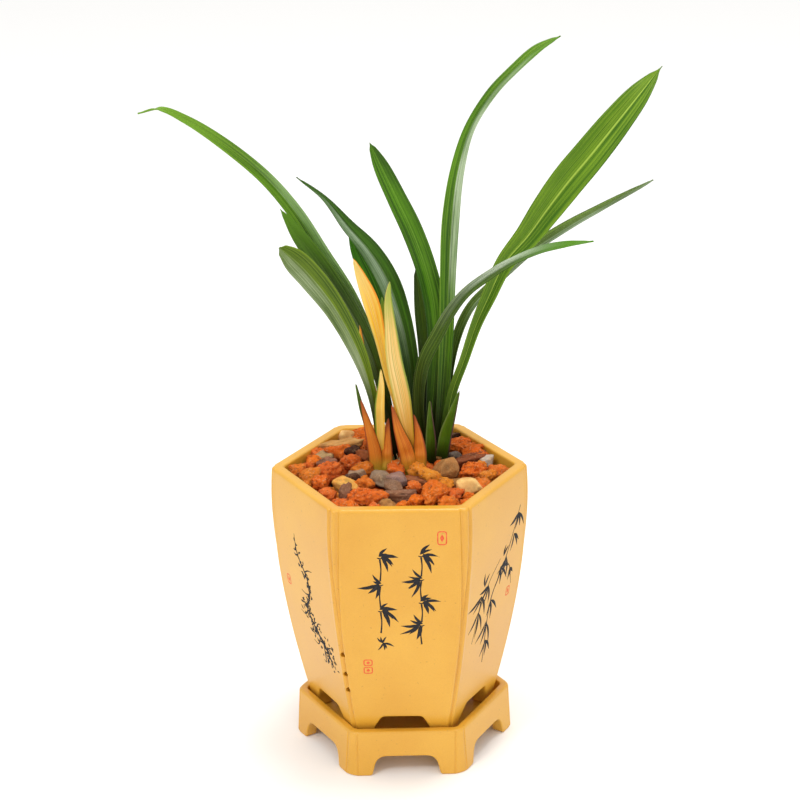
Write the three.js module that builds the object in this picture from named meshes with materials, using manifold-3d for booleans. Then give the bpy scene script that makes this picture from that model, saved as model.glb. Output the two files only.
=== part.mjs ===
// A small strap-leaved orchid in a six-sided clay pot that stands on a footed clay saucer.
// Millimetres, +Z up. While modelling, the pot's axis is x = y = 0 and the table top is z = 0;
// at the end the whole object is moved so that the middle of its bounding box's base is the origin.
import * as THREE from 'three';
import { mergeVertices } from 'three/addons/utils/BufferGeometryUtils.js';
import Module from 'manifold-3d';

const wasm = await Module();
wasm.setup();

// ---- Driving dimensions ---------------------------------------------------------------------

const GAP = 0.3; // clearance between pieces that rest on or sit in each other
const CORNERS = 6;

const SAUCER = {
  height: 28.6,
  rimStrip: 5.5, // width of the flat strip along each corner
  footStrip: 8,
  flare: 2, // how much further out each side is at the foot than at the rim
  potGap: 1.8, // between the pot's side and the rim's inner edge
  rimWidth: 5,
  trayFloor: 20, // height of the tray's floor
  floorThickness: 6,
  wall: 7, // thickness of the skirt under the tray
  archHeight: 12.5,
  archFoot: 41, // width of an arch where it meets the table
  archShoulder: 35, // its width where the round corners begin
  archCorner: 6,
  edge: 1.6, // rounding of the rim
  turn: THREE.MathUtils.degToRad(1.2), // it stands turned and shifted a little under the pot
  shift: 1.1,
};

const POT = {
  height: 156.4,
  rimRadius: 75, // from the axis to the middle of a corner strip, at the rim
  bellyRadius: 76,
  bellyHeight: 135,
  footRadius: 54.5,
  sweep: 1.7, // how quickly the side curves in towards the foot
  rimStrip: 5.5,
  footStrip: 3.8,
  wall: 7,
  footWall: 8,
  innerCorner: 2,
  floorThickness: 6,
  notchHeight: 15.5,
  notchTop: 24,
  notchFoot: 34,
  edge: 2,
  drainRadius: 9,
};
const VENT = { radius: 1.65, heights: [35.5, 47, 61], corners: [0, 2, 4] };

const BED = { belowRim: 6.5, mound: 3, ripple: 1.2, crownClearance: 2.5, stoneField: 60 };
const BULB = { radius: 9, height: 24 };
const ROOT = { radius: 2.4, tipRadius: 1.6, sides: 7, perBulb: 2, tipAboveFloor: 20, fan: 1.5, swirl: 0.1 };
const CROWN_BELOW_RIM = 2.7;
const BLADE = { thickness: 1.1, edge: 0.35, stationEvery: 17, across: 4 };

const potBase = SAUCER.trayFloor + GAP;
const potRim = potBase + POT.height;
const potFloorUnder = potBase + POT.notchHeight + 0.5;
const potFloor = potFloorUnder + POT.floorThickness;
const bedBase = potFloor + GAP;
const crownLevel = potRim - CROWN_BELOW_RIM; // where the leaves start, on top of the bulbs

// ---- Materials ------------------------------------------------------------------------------

const paint = (color, roughness) => () =>
  new THREE.MeshStandardMaterial({ color, roughness, metalness: 0 });
const clay = paint('#e6aa4c', 0.5);
const lavaRed = paint('#c4552b', 0.95);
const lavaOrange = paint('#e28a3c', 0.95);
const greyStone = paint('#8d8680', 0.9);
const creamStone = paint('#d9c39a', 0.85);
const bark = paint('#6d4a38', 0.95);
const leafGreen = paint('#2f6b1f', 0.4);
const leafDark = paint('#23451c', 0.45);
const leafOlive = paint('#5f7a38', 0.45);
const shootYellow = paint('#f6c25e', 0.5);
const sheathOrange = paint('#cf7f3c', 0.6);
const sheathGreen = paint('#4b7a2a', 0.5);
const bulbGreen = paint('#6f7d3c', 0.6);
const rootWhite = paint('#d8cdb4', 0.8);

// ---- Closed solids and cuts -----------------------------------------------------------------

const object = new THREE.Group();

function addPiece(name, geometry, material) {
  const mesh = new THREE.Mesh(geometry, material());
  mesh.name = name;
  object.add(mesh);
  return mesh;
}

function toSolid(geometry) {
  const plain = geometry.clone();
  plain.deleteAttribute('normal');
  plain.deleteAttribute('uv');
  const merged = mergeVertices(plain, 1e-4);
  return new wasm.Manifold(new wasm.Mesh({
    numProp: 3,
    vertProperties: new Float32Array(merged.attributes.position.array),
    triVerts: new Uint32Array(merged.index.array),
  }));
}

function toGeometry(solid) {
  const { vertProperties, triVerts } = solid.getMesh();
  const geometry = new THREE.BufferGeometry();
  geometry.setAttribute('position', new THREE.BufferAttribute(vertProperties, 3));
  geometry.setIndex(new THREE.BufferAttribute(triVerts, 1));
  geometry.computeVertexNormals();
  return geometry;
}

function cut(geometry, tools) {
  return toGeometry(tools.reduce((left, tool) => left.subtract(toSolid(tool)), toSolid(geometry)));
}

// Joins rings of points, each with as many points as the next, into one closed body. Each end is
// closed by a strip between the two halves of its ring, so a crescent's end is closed too.
function loft(rings) {
  const count = rings[0].length;
  const points = rings.flat();
  const faces = [];
  for (let ring = 0; ring + 1 < rings.length; ring++) {
    for (let i = 0; i < count; i++) {
      const a = ring * count + i;
      const b = ring * count + ((i + 1) % count);
      faces.push(a, b, b + count, a, b + count, a + count);
    }
  }
  for (const [ring, flip] of [[0, true], [rings.length - 1, false]]) {
    for (let i = 0; i + 1 < count - 1 - i; i++) {
      const [a, b, c, d] = [i, i + 1, count - 2 - i, count - 1 - i].map((k) => ring * count + k);
      const corners = b === c ? [a, b, d] : [a, b, c, a, c, d];
      faces.push(...(flip ? corners.reverse() : corners));
    }
  }
  const geometry = new THREE.BufferGeometry().setFromPoints(points);
  geometry.setIndex(faces);
  geometry.computeVertexNormals();
  return geometry;
}

// ---- The six-sided section ------------------------------------------------------------------

// A hexagon's apothem from its corner radius, where a flat strip cuts each corner.
function apothemOf(radius, strip) {
  return radius * Math.cos(Math.PI / CORNERS) + strip / 4;
}

// One ring of a hexagon with its corners on angles 0, 60, ...; each side has `steps` segments.
function hexRing(apothem, strip, height, steps = 1) {
  const half = apothem * Math.tan(Math.PI / CORNERS) - strip / Math.sqrt(3);
  const ring = [];
  for (let side = 0; side < CORNERS; side++) {
    const angle = ((side + 0.5) * 2 * Math.PI) / CORNERS;
    for (let i = 0; i <= steps; i++) {
      const along = half * ((2 * i) / steps - 1);
      const x = apothem * Math.cos(angle) - along * Math.sin(angle);
      const y = apothem * Math.sin(angle) + along * Math.cos(angle);
      ring.push(new THREE.Vector3(x, y, height));
    }
  }
  return ring;
}

// A vertical outline (x across, y up) run straight through the object, turned about its axis.
function throughCut(outline, angle) {
  const length = 400;
  const geometry = new THREE.ExtrudeGeometry(outline, {
    depth: length, bevelEnabled: false, curveSegments: 4,
  });
  geometry.translate(0, 0, -length / 2);
  geometry.rotateX(Math.PI / 2);
  geometry.rotateZ(angle);
  return geometry;
}

const throughAllSides = (outline) =>
  [0, 1, 2].map((i) => throughCut(outline, (i * 2 * Math.PI) / CORNERS));

// ---- Saucer ---------------------------------------------------------------------------------

function archOutline() {
  const { archFoot, archShoulder, archHeight, archCorner } = SAUCER;
  const outline = new THREE.Shape();
  outline.moveTo(-archFoot / 2, -1);
  outline.lineTo(-archFoot / 2, 0);
  outline.lineTo(-archShoulder / 2, archHeight - archCorner);
  outline.quadraticCurveTo(-archShoulder / 2, archHeight, archCorner - archShoulder / 2, archHeight);
  outline.lineTo(archShoulder / 2 - archCorner, archHeight);
  outline.quadraticCurveTo(archShoulder / 2, archHeight, archShoulder / 2, archHeight - archCorner);
  outline.lineTo(archFoot / 2, 0);
  outline.lineTo(archFoot / 2, -1);
  outline.closePath();
  return outline;
}

function makeSaucer() {
  const { height, edge, wall, trayFloor, floorThickness, rimWidth } = SAUCER;
  const rimApothem = potSide(height - potBase).apothem + SAUCER.potGap + rimWidth;
  const ring = (z, inset) => {
    const apothem = rimApothem + SAUCER.flare * (1 - z / height);
    const strip = THREE.MathUtils.lerp(SAUCER.footStrip, SAUCER.rimStrip, z / height);
    return hexRing(apothem - inset, strip, z);
  };
  const body = loft([
    ring(0, 0), ring(height - edge, 0), ring(height - 0.3 * edge, 0.3 * edge), ring(height, edge),
  ]);
  const tray = loft([
    ring(trayFloor, rimWidth + 1), ring(height - 0.5, rimWidth), ring(height + 1, rimWidth - 0.7),
  ]);
  const under = loft([ring(-1, wall), ring(trayFloor - floorThickness, wall + 1)]);
  const geometry = cut(body, [tray, under, ...throughAllSides(archOutline())]);
  geometry.rotateZ(SAUCER.turn);
  geometry.translate(SAUCER.shift, 0, 0);
  return geometry;
}

// ---- Pot ------------------------------------------------------------------------------------

// The pot's outside at a height above its foot: the corner strip's width and the apothem.
function potSide(h) {
  const { height, bellyHeight, bellyRadius, footRadius, rimRadius, sweep } = POT;
  const strip = THREE.MathUtils.lerp(POT.footStrip, POT.rimStrip, Math.max(h, 0) / height);
  const below = THREE.MathUtils.clamp(1 - h / bellyHeight, 0, 1);
  const above = Math.max(0, (h - bellyHeight) / (height - bellyHeight));
  const radius = bellyRadius - (bellyRadius - footRadius) * below ** sweep
    - (bellyRadius - rimRadius) * above ** 2;
  return { strip, apothem: apothemOf(radius, strip) };
}

function potRing(z, inset, strip = potSide(z - potBase).strip) {
  return hexRing(potSide(z - potBase).apothem - inset, strip, z);
}

function levels(from, to, count) {
  return Array.from({ length: count + 1 }, (_, i) => THREE.MathUtils.lerp(from, to, i / count));
}

// The pot's inside is flat between these heights, and what fills it follows the same flats.
const insideLevels = levels(potFloor, potRim, 8);

function insideApothem(z) {
  const at = insideLevels.map((level) => potSide(level - potBase).apothem - POT.wall);
  const place = ((z - potFloor) / (potRim - potFloor)) * (insideLevels.length - 1);
  const from = THREE.MathUtils.clamp(Math.floor(place), 0, insideLevels.length - 2);
  return THREE.MathUtils.lerp(at[from], at[from + 1], place - from);
}

function notchOutline() {
  const outline = new THREE.Shape();
  const top = potBase + POT.notchHeight;
  outline.moveTo(-POT.notchFoot / 2, potBase - 1);
  outline.lineTo(POT.notchFoot / 2, potBase - 1);
  outline.lineTo(POT.notchFoot / 2, potBase + POT.notchHeight * 0.4);
  outline.lineTo(POT.notchTop / 2, top);
  outline.lineTo(-POT.notchTop / 2, top);
  outline.lineTo(-POT.notchFoot / 2, potBase + POT.notchHeight * 0.4);
  outline.closePath();
  return outline;
}

function ventHole(corner, h) {
  const length = 3 * POT.wall;
  const angle = (corner * 2 * Math.PI) / CORNERS;
  const { apothem } = potSide(h);
  const hole = new THREE.CylinderGeometry(VENT.radius, VENT.radius, length, 8);
  hole.rotateZ(Math.PI / 2);
  hole.translate(apothem / Math.cos(Math.PI / CORNERS) - POT.wall / 2, 0, potBase + h);
  hole.rotateZ(angle);
  return hole;
}

function makePot() {
  const { footWall, innerCorner, edge, drainRadius } = POT;
  const body = loft([
    ...levels(potBase, potRim - edge, 11).map((z) => potRing(z, 0)),
    potRing(potRim - 0.3 * edge, 0.3 * edge),
    potRing(potRim, edge),
  ]);
  const cavity = loft([
    ...insideLevels.map((z) => hexRing(insideApothem(z), innerCorner, z)),
    hexRing(insideApothem(potRim), innerCorner, potRim + 1),
  ]);
  const under = loft([
    potRing(potBase - 1, footWall, innerCorner),
    potRing(potFloorUnder, footWall, innerCorner),
  ]);
  const drain = new THREE.CylinderGeometry(drainRadius, drainRadius, 4 * POT.floorThickness, 16);
  drain.rotateX(Math.PI / 2);
  drain.translate(0, 0, potFloor);
  const vents = VENT.corners.flatMap((corner) => VENT.heights.map((h) => ventHole(corner, h)));
  return cut(body, [cavity, under, drain, ...throughAllSides(notchOutline()), ...vents]);
}

// ---- Blades: leaves, shoots and sheaths -----------------------------------------------------

// A blade is a thin curved strap. `spine` holds [x, y, height over the crown level, width] from its
// base to its tip. `turn` is the compass angle, in degrees, of the line across the blade at its base
// and at its tip, and `curl` is how far its two edges are rolled towards each other, in degrees, at
// base and tip.
function blade({ spine, turn, curl, thickness = BLADE.thickness, every = BLADE.stationEvery }) {
  const curve = new THREE.CatmullRomCurve3(
    spine.map(([x, y, rise]) => new THREE.Vector3(x, y, crownLevel + rise)));
  const stations = Math.max(4, Math.round(curve.getLength() / every));
  const rings = [];
  for (let i = 0; i <= stations; i++) {
    const t = i / stations;
    const centre = curve.getPoint(t);
    const along = curve.getTangent(t);
    const angle = THREE.MathUtils.degToRad(THREE.MathUtils.lerp(...turn, t));
    const across = new THREE.Vector3(Math.cos(angle), Math.sin(angle), 0);
    across.addScaledVector(along, -across.dot(along)).normalize();
    const up = new THREE.Vector3().crossVectors(along, across);
    const roll = THREE.MathUtils.degToRad(THREE.MathUtils.lerp(...curl, t));
    rings.push(bladeSection(centre, across, up, widthAt(spine, t), roll, thickness));
  }
  return loft(rings);
}

function widthAt(spine, t) {
  const place = t * (spine.length - 1);
  const from = Math.min(Math.floor(place), spine.length - 2);
  return THREE.MathUtils.lerp(spine[from][3], spine[from + 1][3], place - from);
}

// The closed outline of a blade's section: an arc of the given width, rolled by `roll` radians,
// thickest at the midrib and thinning to its two edges.
function bladeSection(centre, across, up, width, roll, thickness) {
  const radius = width / roll;
  const lift = (radius * (1 - Math.cos(roll / 2))) / 2; // keeps the section's middle on the spine
  const face = (side) => Array.from({ length: BLADE.across + 1 }, (_, i) => {
    const share = (2 * i) / BLADE.across - 1;
    const half = (side * THREE.MathUtils.lerp(thickness, BLADE.edge, share * share)) / 2;
    const angle = (share * roll) / 2;
    return centre.clone()
      .addScaledVector(across, (radius - half) * Math.sin(angle))
      .addScaledVector(up, radius - (radius - half) * Math.cos(angle) - lift);
  });
  return [...face(-1), ...face(1).reverse()];
}

const LEAVES = [
  { paint: leafGreen, turn: [190, 205], spine: [
    [-2, 29, 0, 5], [-8, 25, 31, 6], [-15, 20, 67, 8], [-27, 14, 102, 9], [-43, 8, 131, 10],
    [-57, 3, 157, 9], [-73, -2, 179, 8], [-95, -7, 200, 7], [-115, -11, 215, 5],
    [-129, -14, 222, 3], [-141, -16, 220, 1]] },
  { paint: leafDark, turn: [190, 205], spine: [
    [-1, 23, 0, 5], [-6, 19, 30, 6], [-12, 15, 56, 8], [-21, 10, 83, 10], [-32, 5, 106, 11],
    [-45, 0, 129, 11], [-56, -5, 147, 8], [-65, -9, 163, 1]] },
  { paint: leafOlive, turn: [185, 205], spine: [
    [-11, 11, 0, 4], [-13, 6, 27, 4], [-16, 0, 50, 6], [-23, -8, 77, 10], [-35, -15, 105, 13],
    [-48, -21, 126, 15], [-58, -26, 139, 13], [-65, -28, 146, 5]] },
  { paint: leafDark, turn: [180, 215], spine: [
    [11, 28, 0, 6], [9, 30, 32, 9], [7, 33, 57, 11], [2, 37, 82, 13], [-5, 42, 103, 14],
    [-16, 47, 121, 13], [-29, 52, 135, 9], [-43, 57, 151, 4], [-59, 60, 163, 1]] },
  { paint: leafGreen, turn: [180, 190], spine: [
    [4, 32, 0, 5], [3, 35, 30, 9], [-1, 41, 54, 12], [-8, 49, 78, 14], [-16, 57, 100, 13],
    [-24, 64, 116, 8], [-29, 68, 128, 1]] },
  { paint: leafGreen, turn: [180, 190], spine: [
    [18, 27, 0, 5], [21, 29, 38, 9], [23, 31, 70, 11], [22, 34, 91, 13], [17, 38, 113, 13],
    [9, 42, 135, 13], [1, 45, 152, 12], [-9, 48, 173, 9], [-15, 49, 186, 2]] },
  { paint: leafOlive, turn: [180, 180], spine: [
    [16, 32, 0, 4], [17, 35, 34, 7], [16, 39, 62, 8], [14, 43, 86, 8], [11, 46, 109, 2]] },
  { paint: leafGreen, turn: [185, 130], spine: [
    [23, 23, 0, 5], [27, 25, 43, 8], [29, 27, 76, 9], [30, 30, 108, 10], [32, 33, 144, 11],
    [36, 35, 173, 9], [43, 36, 197, 7], [56, 36, 218, 7], [69, 35, 232, 7], [81, 33, 243, 7],
    [94, 30, 251, 2]] },
  { paint: leafGreen, turn: [170, 155], spine: [
    [25, 18, 0, 6], [32, 17, 41, 6], [39, 14, 63, 6], [46, 11, 86, 7], [53, 8, 104, 9],
    [62, 5, 125, 11], [75, 3, 142, 15], [85, 2, 157, 18], [97, 1, 174, 20], [109, 1, 189, 20],
    [124, 2, 208, 18], [137, 4, 224, 13], [149, 7, 238, 1]] },
  { paint: leafDark, turn: [150, 130], spine: [
    [28, 27, 0, 5], [31, 30, 51, 6], [37, 35, 75, 7], [45, 40, 89, 7], [58, 46, 100, 8],
    [77, 53, 116, 10], [94, 59, 126, 10], [110, 64, 134, 9], [128, 70, 142, 7],
    [146, 75, 150, 4], [155, 78, 154, 1]] },
  { paint: leafDark, turn: [160, 100], spine: [
    [15, 18, 0, 6], [12, 15, 38, 8], [15, 11, 62, 9], [23, 6, 81, 9], [31, 0, 98, 8],
    [40, -7, 112, 7], [52, -15, 124, 7], [65, -24, 135, 7], [80, -32, 144, 8], [93, -39, 149, 8],
    [108, -46, 153, 1]] },
];

const SHOOTS = [
  [[3, 8, 0, 3], [-1, 6, 39, 5], [-6, 6, 58, 5], [-10, 7, 79, 7], [-15, 8, 101, 10],
    [-21, 10, 117, 6], [-25, 11, 127, 1]],
  [[8, 2, 4, 3], [5, 0, 28, 8], [2, -3, 48, 11], [-2, -5, 70, 10], [-4, -6, 92, 7],
    [-5, -6, 109, 4], [-4, -5, 118, 1]],
  [[4, 14, 0, 3], [-2, 13, 45, 4], [-5, 14, 70, 4], [-8, 15, 87, 4], [-9, 16, 102, 1]],
  [[-7, 13, 0, 3], [-11, 9, 31, 3], [-15, 8, 50, 3], [-19, 7, 65, 3], [-22, 6, 88, 1]],
  [[-11, 1, 4, 3], [-11, 0, 25, 6], [-11, -2, 41, 6], [-10, -3, 54, 4], [-10, -3, 64, 1]],
];

const SHEATHS = [
  { paint: sheathOrange, turn: [205, 205], spine: [
    [-15, 1, 0, 6], [-17, -1, 18, 5], [-19, -2, 32, 3], [-22, -3, 45, 1]] },
  { paint: sheathOrange, turn: [150, 150], spine: [
    [-6, 2, 0, 7], [-7, 2, 12, 5], [-7, 3, 22, 3], [-6, 4, 31, 1]] },
  { paint: sheathOrange, turn: [195, 195], spine: [
    [7, -2, 1, 6], [4, -3, 14, 5], [0, -3, 28, 4], [-4, -3, 42, 1]] },
  { paint: sheathOrange, turn: [150, 150], spine: [
    [13, 0, 0, 6], [13, 0, 12, 5], [11, 1, 23, 3], [9, 2, 34, 1]] },
  { paint: sheathGreen, turn: [180, 180], spine: [
    [19, 12, 0, 7], [19, 12, 14, 7], [19, 12, 26, 4], [19, 13, 38, 1]] },
  { paint: sheathGreen, turn: [165, 165], spine: [
    [26, 13, 0, 9], [28, 12, 16, 8], [32, 11, 31, 5], [36, 10, 45, 1]] },
  { paint: sheathGreen, turn: [200, 200], spine: [
    [-17, 8, 0, 3], [-19, 7, 23, 3], [-22, 6, 37, 3], [-25, 6, 52, 1]] },
];

// ---- Bulbs and roots ------------------------------------------------------------------------

// Where each bulb stands, in bulb radii from the middle of the plant.
const PLANT_MIDDLE = [6, 17];
const CROWNS = [[-2, -1.1], [0.33, -1.2], [-0.44, 1.33], [2, 0.44]]
  .map((place) => place.map((share, i) => PLANT_MIDDLE[i] + share * BULB.radius));

function spindle(radius, height, segments = 12) {
  const profile = Array.from({ length: 7 }, (_, i) => {
    const angle = (i / 6 - 0.5) * Math.PI;
    return new THREE.Vector2(i % 6 ? radius * Math.cos(angle) : 0, (height / 2) * Math.sin(angle));
  });
  const geometry = new THREE.LatheGeometry(profile, segments);
  geometry.rotateX(Math.PI / 2);
  return geometry;
}

const bulbCentre = crownLevel - GAP - BULB.height / 2;

function makeBulb([x, y], grow = 0) {
  return spindle(BULB.radius + grow, BULB.height + 2 * grow).translate(x, y, bulbCentre);
}

// A root leaves the underside of its bulb and wanders out and down through the gravel. Each stop on
// its way is [share of the way down, share of the way from the bulb to the pot's wall, swing].
const ROOT_STOPS = [[0, 0.09, 0], [0.12, 0.15, 0.2], [0.35, 0.3, -0.2], [0.7, 0.45, 0.2], [1, 0.4, 0.4]];

function makeRoot([x, y], heading, grow = 0) {
  const start = bulbCentre - BULB.height / 2 - GAP;
  const tip = bedBase + ROOT.tipAboveFloor;
  const curve = new THREE.CatmullRomCurve3(ROOT_STOPS.map(([down, out, swing]) => {
    const z = THREE.MathUtils.lerp(start, tip, down);
    const wallX = insideApothem(z) * Math.cos(heading + swing);
    const wallY = insideApothem(z) * Math.sin(heading + swing);
    return new THREE.Vector3(
      THREE.MathUtils.lerp(x, wallX, out), THREE.MathUtils.lerp(y, wallY, out), z);
  }));
  const rings = levels(0, 1, 7).map((t) => {
    const along = curve.getTangent(t);
    const across = new THREE.Vector3(0, 1, 0).cross(along).normalize();
    const side = new THREE.Vector3().crossVectors(along, across);
    const radius = THREE.MathUtils.lerp(ROOT.radius, ROOT.tipRadius, t) + grow;
    return Array.from({ length: ROOT.sides }, (_, i) => curve.getPoint(t)
      .addScaledVector(across, radius * Math.cos((i * 2 * Math.PI) / ROOT.sides))
      .addScaledVector(side, radius * Math.sin((i * 2 * Math.PI) / ROOT.sides)));
  });
  if (grow === 0) return loft(rings);
  // A socket runs on up into its bulb's pocket, and a little past the root's tip.
  const shifted = (ring, rise) => ring.map((point) => point.clone().setZ(point.z + rise));
  return loft([shifted(rings[0], 6 * grow), ...rings, shifted(rings.at(-1), -grow)]);
}

const rootHeadings = CROWNS.flatMap(([x, y], bulb) => levels(0, 1, ROOT.perBulb - 1).map((share) => {
  const outward = Math.atan2(y - PLANT_MIDDLE[1], x - PLANT_MIDDLE[0]);
  return { crown: [x, y], heading: outward + (share - 0.5) * ROOT.fan + ROOT.swirl * bulb };
}));

// ---- Gravel ---------------------------------------------------------------------------------

const bedInside = insideApothem(potRim - BED.belowRim); // from the axis to the bed's sides

function bedHeight(x, y) {
  const middle = Math.max(0, 1 - (x * x + y * y) / (bedInside * bedInside));
  const ripple = Math.sin(x / 5.3 + 1) * Math.cos(y / 4.7) + 0.6 * Math.sin((x + y) / 3.9);
  return potRim - BED.belowRim + BED.mound * middle + BED.ripple * ripple;
}

// [name, x, y, length, width, height, turn in degrees, material], in a bed that reaches
// BED.stoneField from the axis to its sides; in a wider or narrower bed their places spread with it.
const STONES = [
  ['pebble_cream', 40, -29, 14, 12, 12, 20, creamStone],
  ['pebble_tan', -31, -22, 17, 12, 10, -20, creamStone],
  ['pebble_tan_large', 27, -4, 16, 13, 14, 40, creamStone],
  ['pebble_grey_1', -25, -7, 12, 10, 9, 10, greyStone],
  ['pebble_grey_2', -11, -17, 13, 14, 11, 60, greyStone],
  ['pebble_grey_3', -45, 22, 14, 12, 9, 0, greyStone],
  ['pebble_grey_4', 52, 14, 10, 8, 8, 15, greyStone],
  ['lava_red_1', 40, 29, 19, 13, 12, -20, lavaRed],
  ['lava_red_2', -20, -42, 18, 14, 13, 15, lavaRed],
  ['lava_red_3', -22, 48, 17, 13, 12, 0, lavaRed],
  ['lava_red_4', -42, -2, 20, 15, 13, 50, lavaRed],
  ['lava_orange_1', 44, -4, 17, 13, 13, 10, lavaOrange],
  ['lava_orange_2', 20, -42, 18, 14, 13, 30, lavaOrange],
  ['bark_large', 40, 12, 20, 8, 8, 35, bark],
  ['bark_long', 10, -18, 22, 8, 7, -15, bark],
  ['bark_flat', 0, -38, 22, 11, 7, -5, bark],
  ['bark_tan', -34, 36, 20, 12, 9, 25, bark],
  ['bark_dark', 28, 44, 18, 9, 8, 30, bark],
];

// A worn lump: a once-divided icosahedron with each corner moved in or out by a smooth wave.
function makeStone([, fieldX, fieldY, length, width, height, turn], grow = 0) {
  const x = (fieldX * bedInside) / BED.stoneField;
  const y = (fieldY * bedInside) / BED.stoneField;
  const geometry = mergeVertices(new THREE.IcosahedronGeometry(1, 1).deleteAttribute('normal')
    .deleteAttribute('uv'), 1e-4);
  const corners = geometry.attributes.position;
  const corner = new THREE.Vector3();
  for (let i = 0; i < corners.count; i++) {
    corner.fromBufferAttribute(corners, i);
    const wave = Math.sin(3 * corner.x + x) + Math.cos(4 * corner.y + y) + Math.sin(5 * corner.z);
    corner.multiplyScalar(0.94 + 0.04 * wave);
    corners.setXYZ(i, corner.x, corner.y, corner.z);
  }
  geometry.scale(length / 2 + grow, width / 2 + grow, height / 2 + grow);
  geometry.rotateZ(THREE.MathUtils.degToRad(turn));
  geometry.translate(x, y, bedHeight(x, y) + 0.15 * height);
  return geometry;
}

function makeBed() {
  const steps = 5;
  const top = potRim - BED.belowRim - 2 * BED.ripple;
  const heights = [bedBase, ...insideLevels.filter((z) => z > bedBase && z < top), top];
  const sides = heights.map((z) =>
    hexRing(insideApothem(z) - 2 * GAP, POT.innerCorner, z, steps));
  const edge = sides.at(-1);
  const surface = [1, 0.86, 0.72, 0.58, 0.44, 0.3, 0.15].map((share) =>
    edge.map(({ x, y }) => new THREE.Vector3(x * share, y * share, bedHeight(x * share, y * share))));
  const crowns = CROWNS.map(([x, y]) => {
    const opening = BULB.radius + BED.crownClearance;
    const hole = new THREE.CylinderGeometry(opening, BULB.radius + GAP, 40, 14);
    return hole.rotateX(Math.PI / 2).translate(x, y, bulbCentre + 20);
  });
  return cut(loft([...sides, ...surface]), [
    ...CROWNS.map((crown) => makeBulb(crown, 2 * GAP)),
    ...crowns,
    ...rootHeadings.map(({ crown, heading }) => makeRoot(crown, heading, 2 * GAP)),
    ...STONES.map((stone) => makeStone(stone, 2 * GAP)),
  ]);
}

// ---- The object -----------------------------------------------------------------------------

addPiece('saucer', makeSaucer(), clay);
addPiece('pot', makePot(), clay);
addPiece('gravel_bed', makeBed(), lavaRed);
STONES.forEach((stone) => addPiece(stone[0], makeStone(stone), stone.at(-1)));
CROWNS.forEach((crown, i) => addPiece(`pseudobulb_${i + 1}`, makeBulb(crown), bulbGreen));
rootHeadings.forEach(({ crown, heading }, i) =>
  addPiece(`root_${i + 1}`, makeRoot(crown, heading), rootWhite));
LEAVES.forEach(({ paint: finish, turn, spine }, i) =>
  addPiece(`leaf_${i + 1}`, blade({ spine, turn, curl: [90, 30] }), finish));
SHOOTS.forEach((spine, i) =>
  addPiece(`shoot_${i + 1}`, blade({ spine, turn: [180, 180], curl: [110, 60], every: 10 }), shootYellow));
SHEATHS.forEach(({ paint: finish, turn, spine }, i) =>
  addPiece(`sheath_${i + 1}`, blade({ spine, turn, curl: [120, 60], every: 9 }), finish));

const bounds = new THREE.Box3().setFromObject(object);
const middle = bounds.getCenter(new THREE.Vector3());
object.position.set(-middle.x, -middle.y, -bounds.min.z);

export default object;
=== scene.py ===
"""The looks of a potted orchid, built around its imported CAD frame.

Shapes are worked out in millimetres with the pot's axis at x = y = 0 and the table at z = 0, and
are turned into metres in the frame's own place when their meshes are made.
"""
import math

import bmesh
import bpy
import numpy as np
from mathutils import Matrix, Vector


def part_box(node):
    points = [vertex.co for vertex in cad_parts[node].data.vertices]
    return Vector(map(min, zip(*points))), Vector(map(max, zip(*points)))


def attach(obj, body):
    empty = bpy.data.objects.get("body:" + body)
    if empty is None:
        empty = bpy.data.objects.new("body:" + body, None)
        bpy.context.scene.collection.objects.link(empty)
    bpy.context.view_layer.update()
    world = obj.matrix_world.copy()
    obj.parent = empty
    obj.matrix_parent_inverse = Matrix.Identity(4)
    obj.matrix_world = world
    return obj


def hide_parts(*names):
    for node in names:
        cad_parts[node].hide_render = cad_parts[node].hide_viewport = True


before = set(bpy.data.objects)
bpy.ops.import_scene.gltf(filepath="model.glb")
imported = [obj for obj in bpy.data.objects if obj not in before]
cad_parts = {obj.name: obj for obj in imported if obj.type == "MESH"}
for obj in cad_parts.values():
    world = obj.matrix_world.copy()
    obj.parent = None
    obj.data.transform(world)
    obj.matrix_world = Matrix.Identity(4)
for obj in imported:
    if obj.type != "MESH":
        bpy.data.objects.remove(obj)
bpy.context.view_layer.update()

MM = 0.001
SIDES = 6
TURN = 2 * math.pi / SIDES
SIN30, COS30, TAN30 = 0.5, math.sqrt(3) / 2, 1 / math.sqrt(3)


def box_mm(node):
    low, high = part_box(node)
    return np.array(low) / MM, np.array(high) / MM


pot_low, pot_high = box_mm("pot")
saucer_low, saucer_high = box_mm("saucer")
AXIS = np.array([*(pot_low + pot_high)[:2] / 2, 0])
POT_FOOT, POT_RIM = pot_low[2], pot_high[2]
POT_HEIGHT = POT_RIM - POT_FOOT
SAUCER_MIDDLE = (saucer_low + saucer_high)[:2] / 2 - AXIS[:2]
SAUCER_RIM = saucer_high[2]
CROWN_BELOW_RIM = 2.7
CROWN_LEVEL = POT_RIM - CROWN_BELOW_RIM  # where the blades leave the gravel


# ---- Camera ---------------------------------------------------------------------------------

def look_at(target, azimuth, elevation, distance, roll):
    """A camera's matrix; azimuth 0 looks along +Y. Angles are in degrees."""
    az, el, turn = map(math.radians, (azimuth, elevation, roll))
    back = Vector((math.sin(az) * math.cos(el), -math.cos(az) * math.cos(el), math.sin(el)))
    right = (-back).cross(Vector((0, 0, 1))).normalized()
    up = right.cross(-back)
    rolled_right = right * math.cos(turn) + up * math.sin(turn)
    rolled_up = up * math.cos(turn) - right * math.sin(turn)
    matrix = Matrix((rolled_right, rolled_up, back)).transposed().to_4x4()
    matrix.translation = target + back * distance
    return matrix


def linked(name, data):
    """A new object in the scene."""
    piece = bpy.data.objects.new(name, data)
    bpy.context.scene.collection.objects.link(piece)
    return piece


VIEW = dict(target=(0.94, 0, 217.7), azimuth=0.178, elevation=20.99, distance=1.2076, roll=-0.73)

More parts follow.
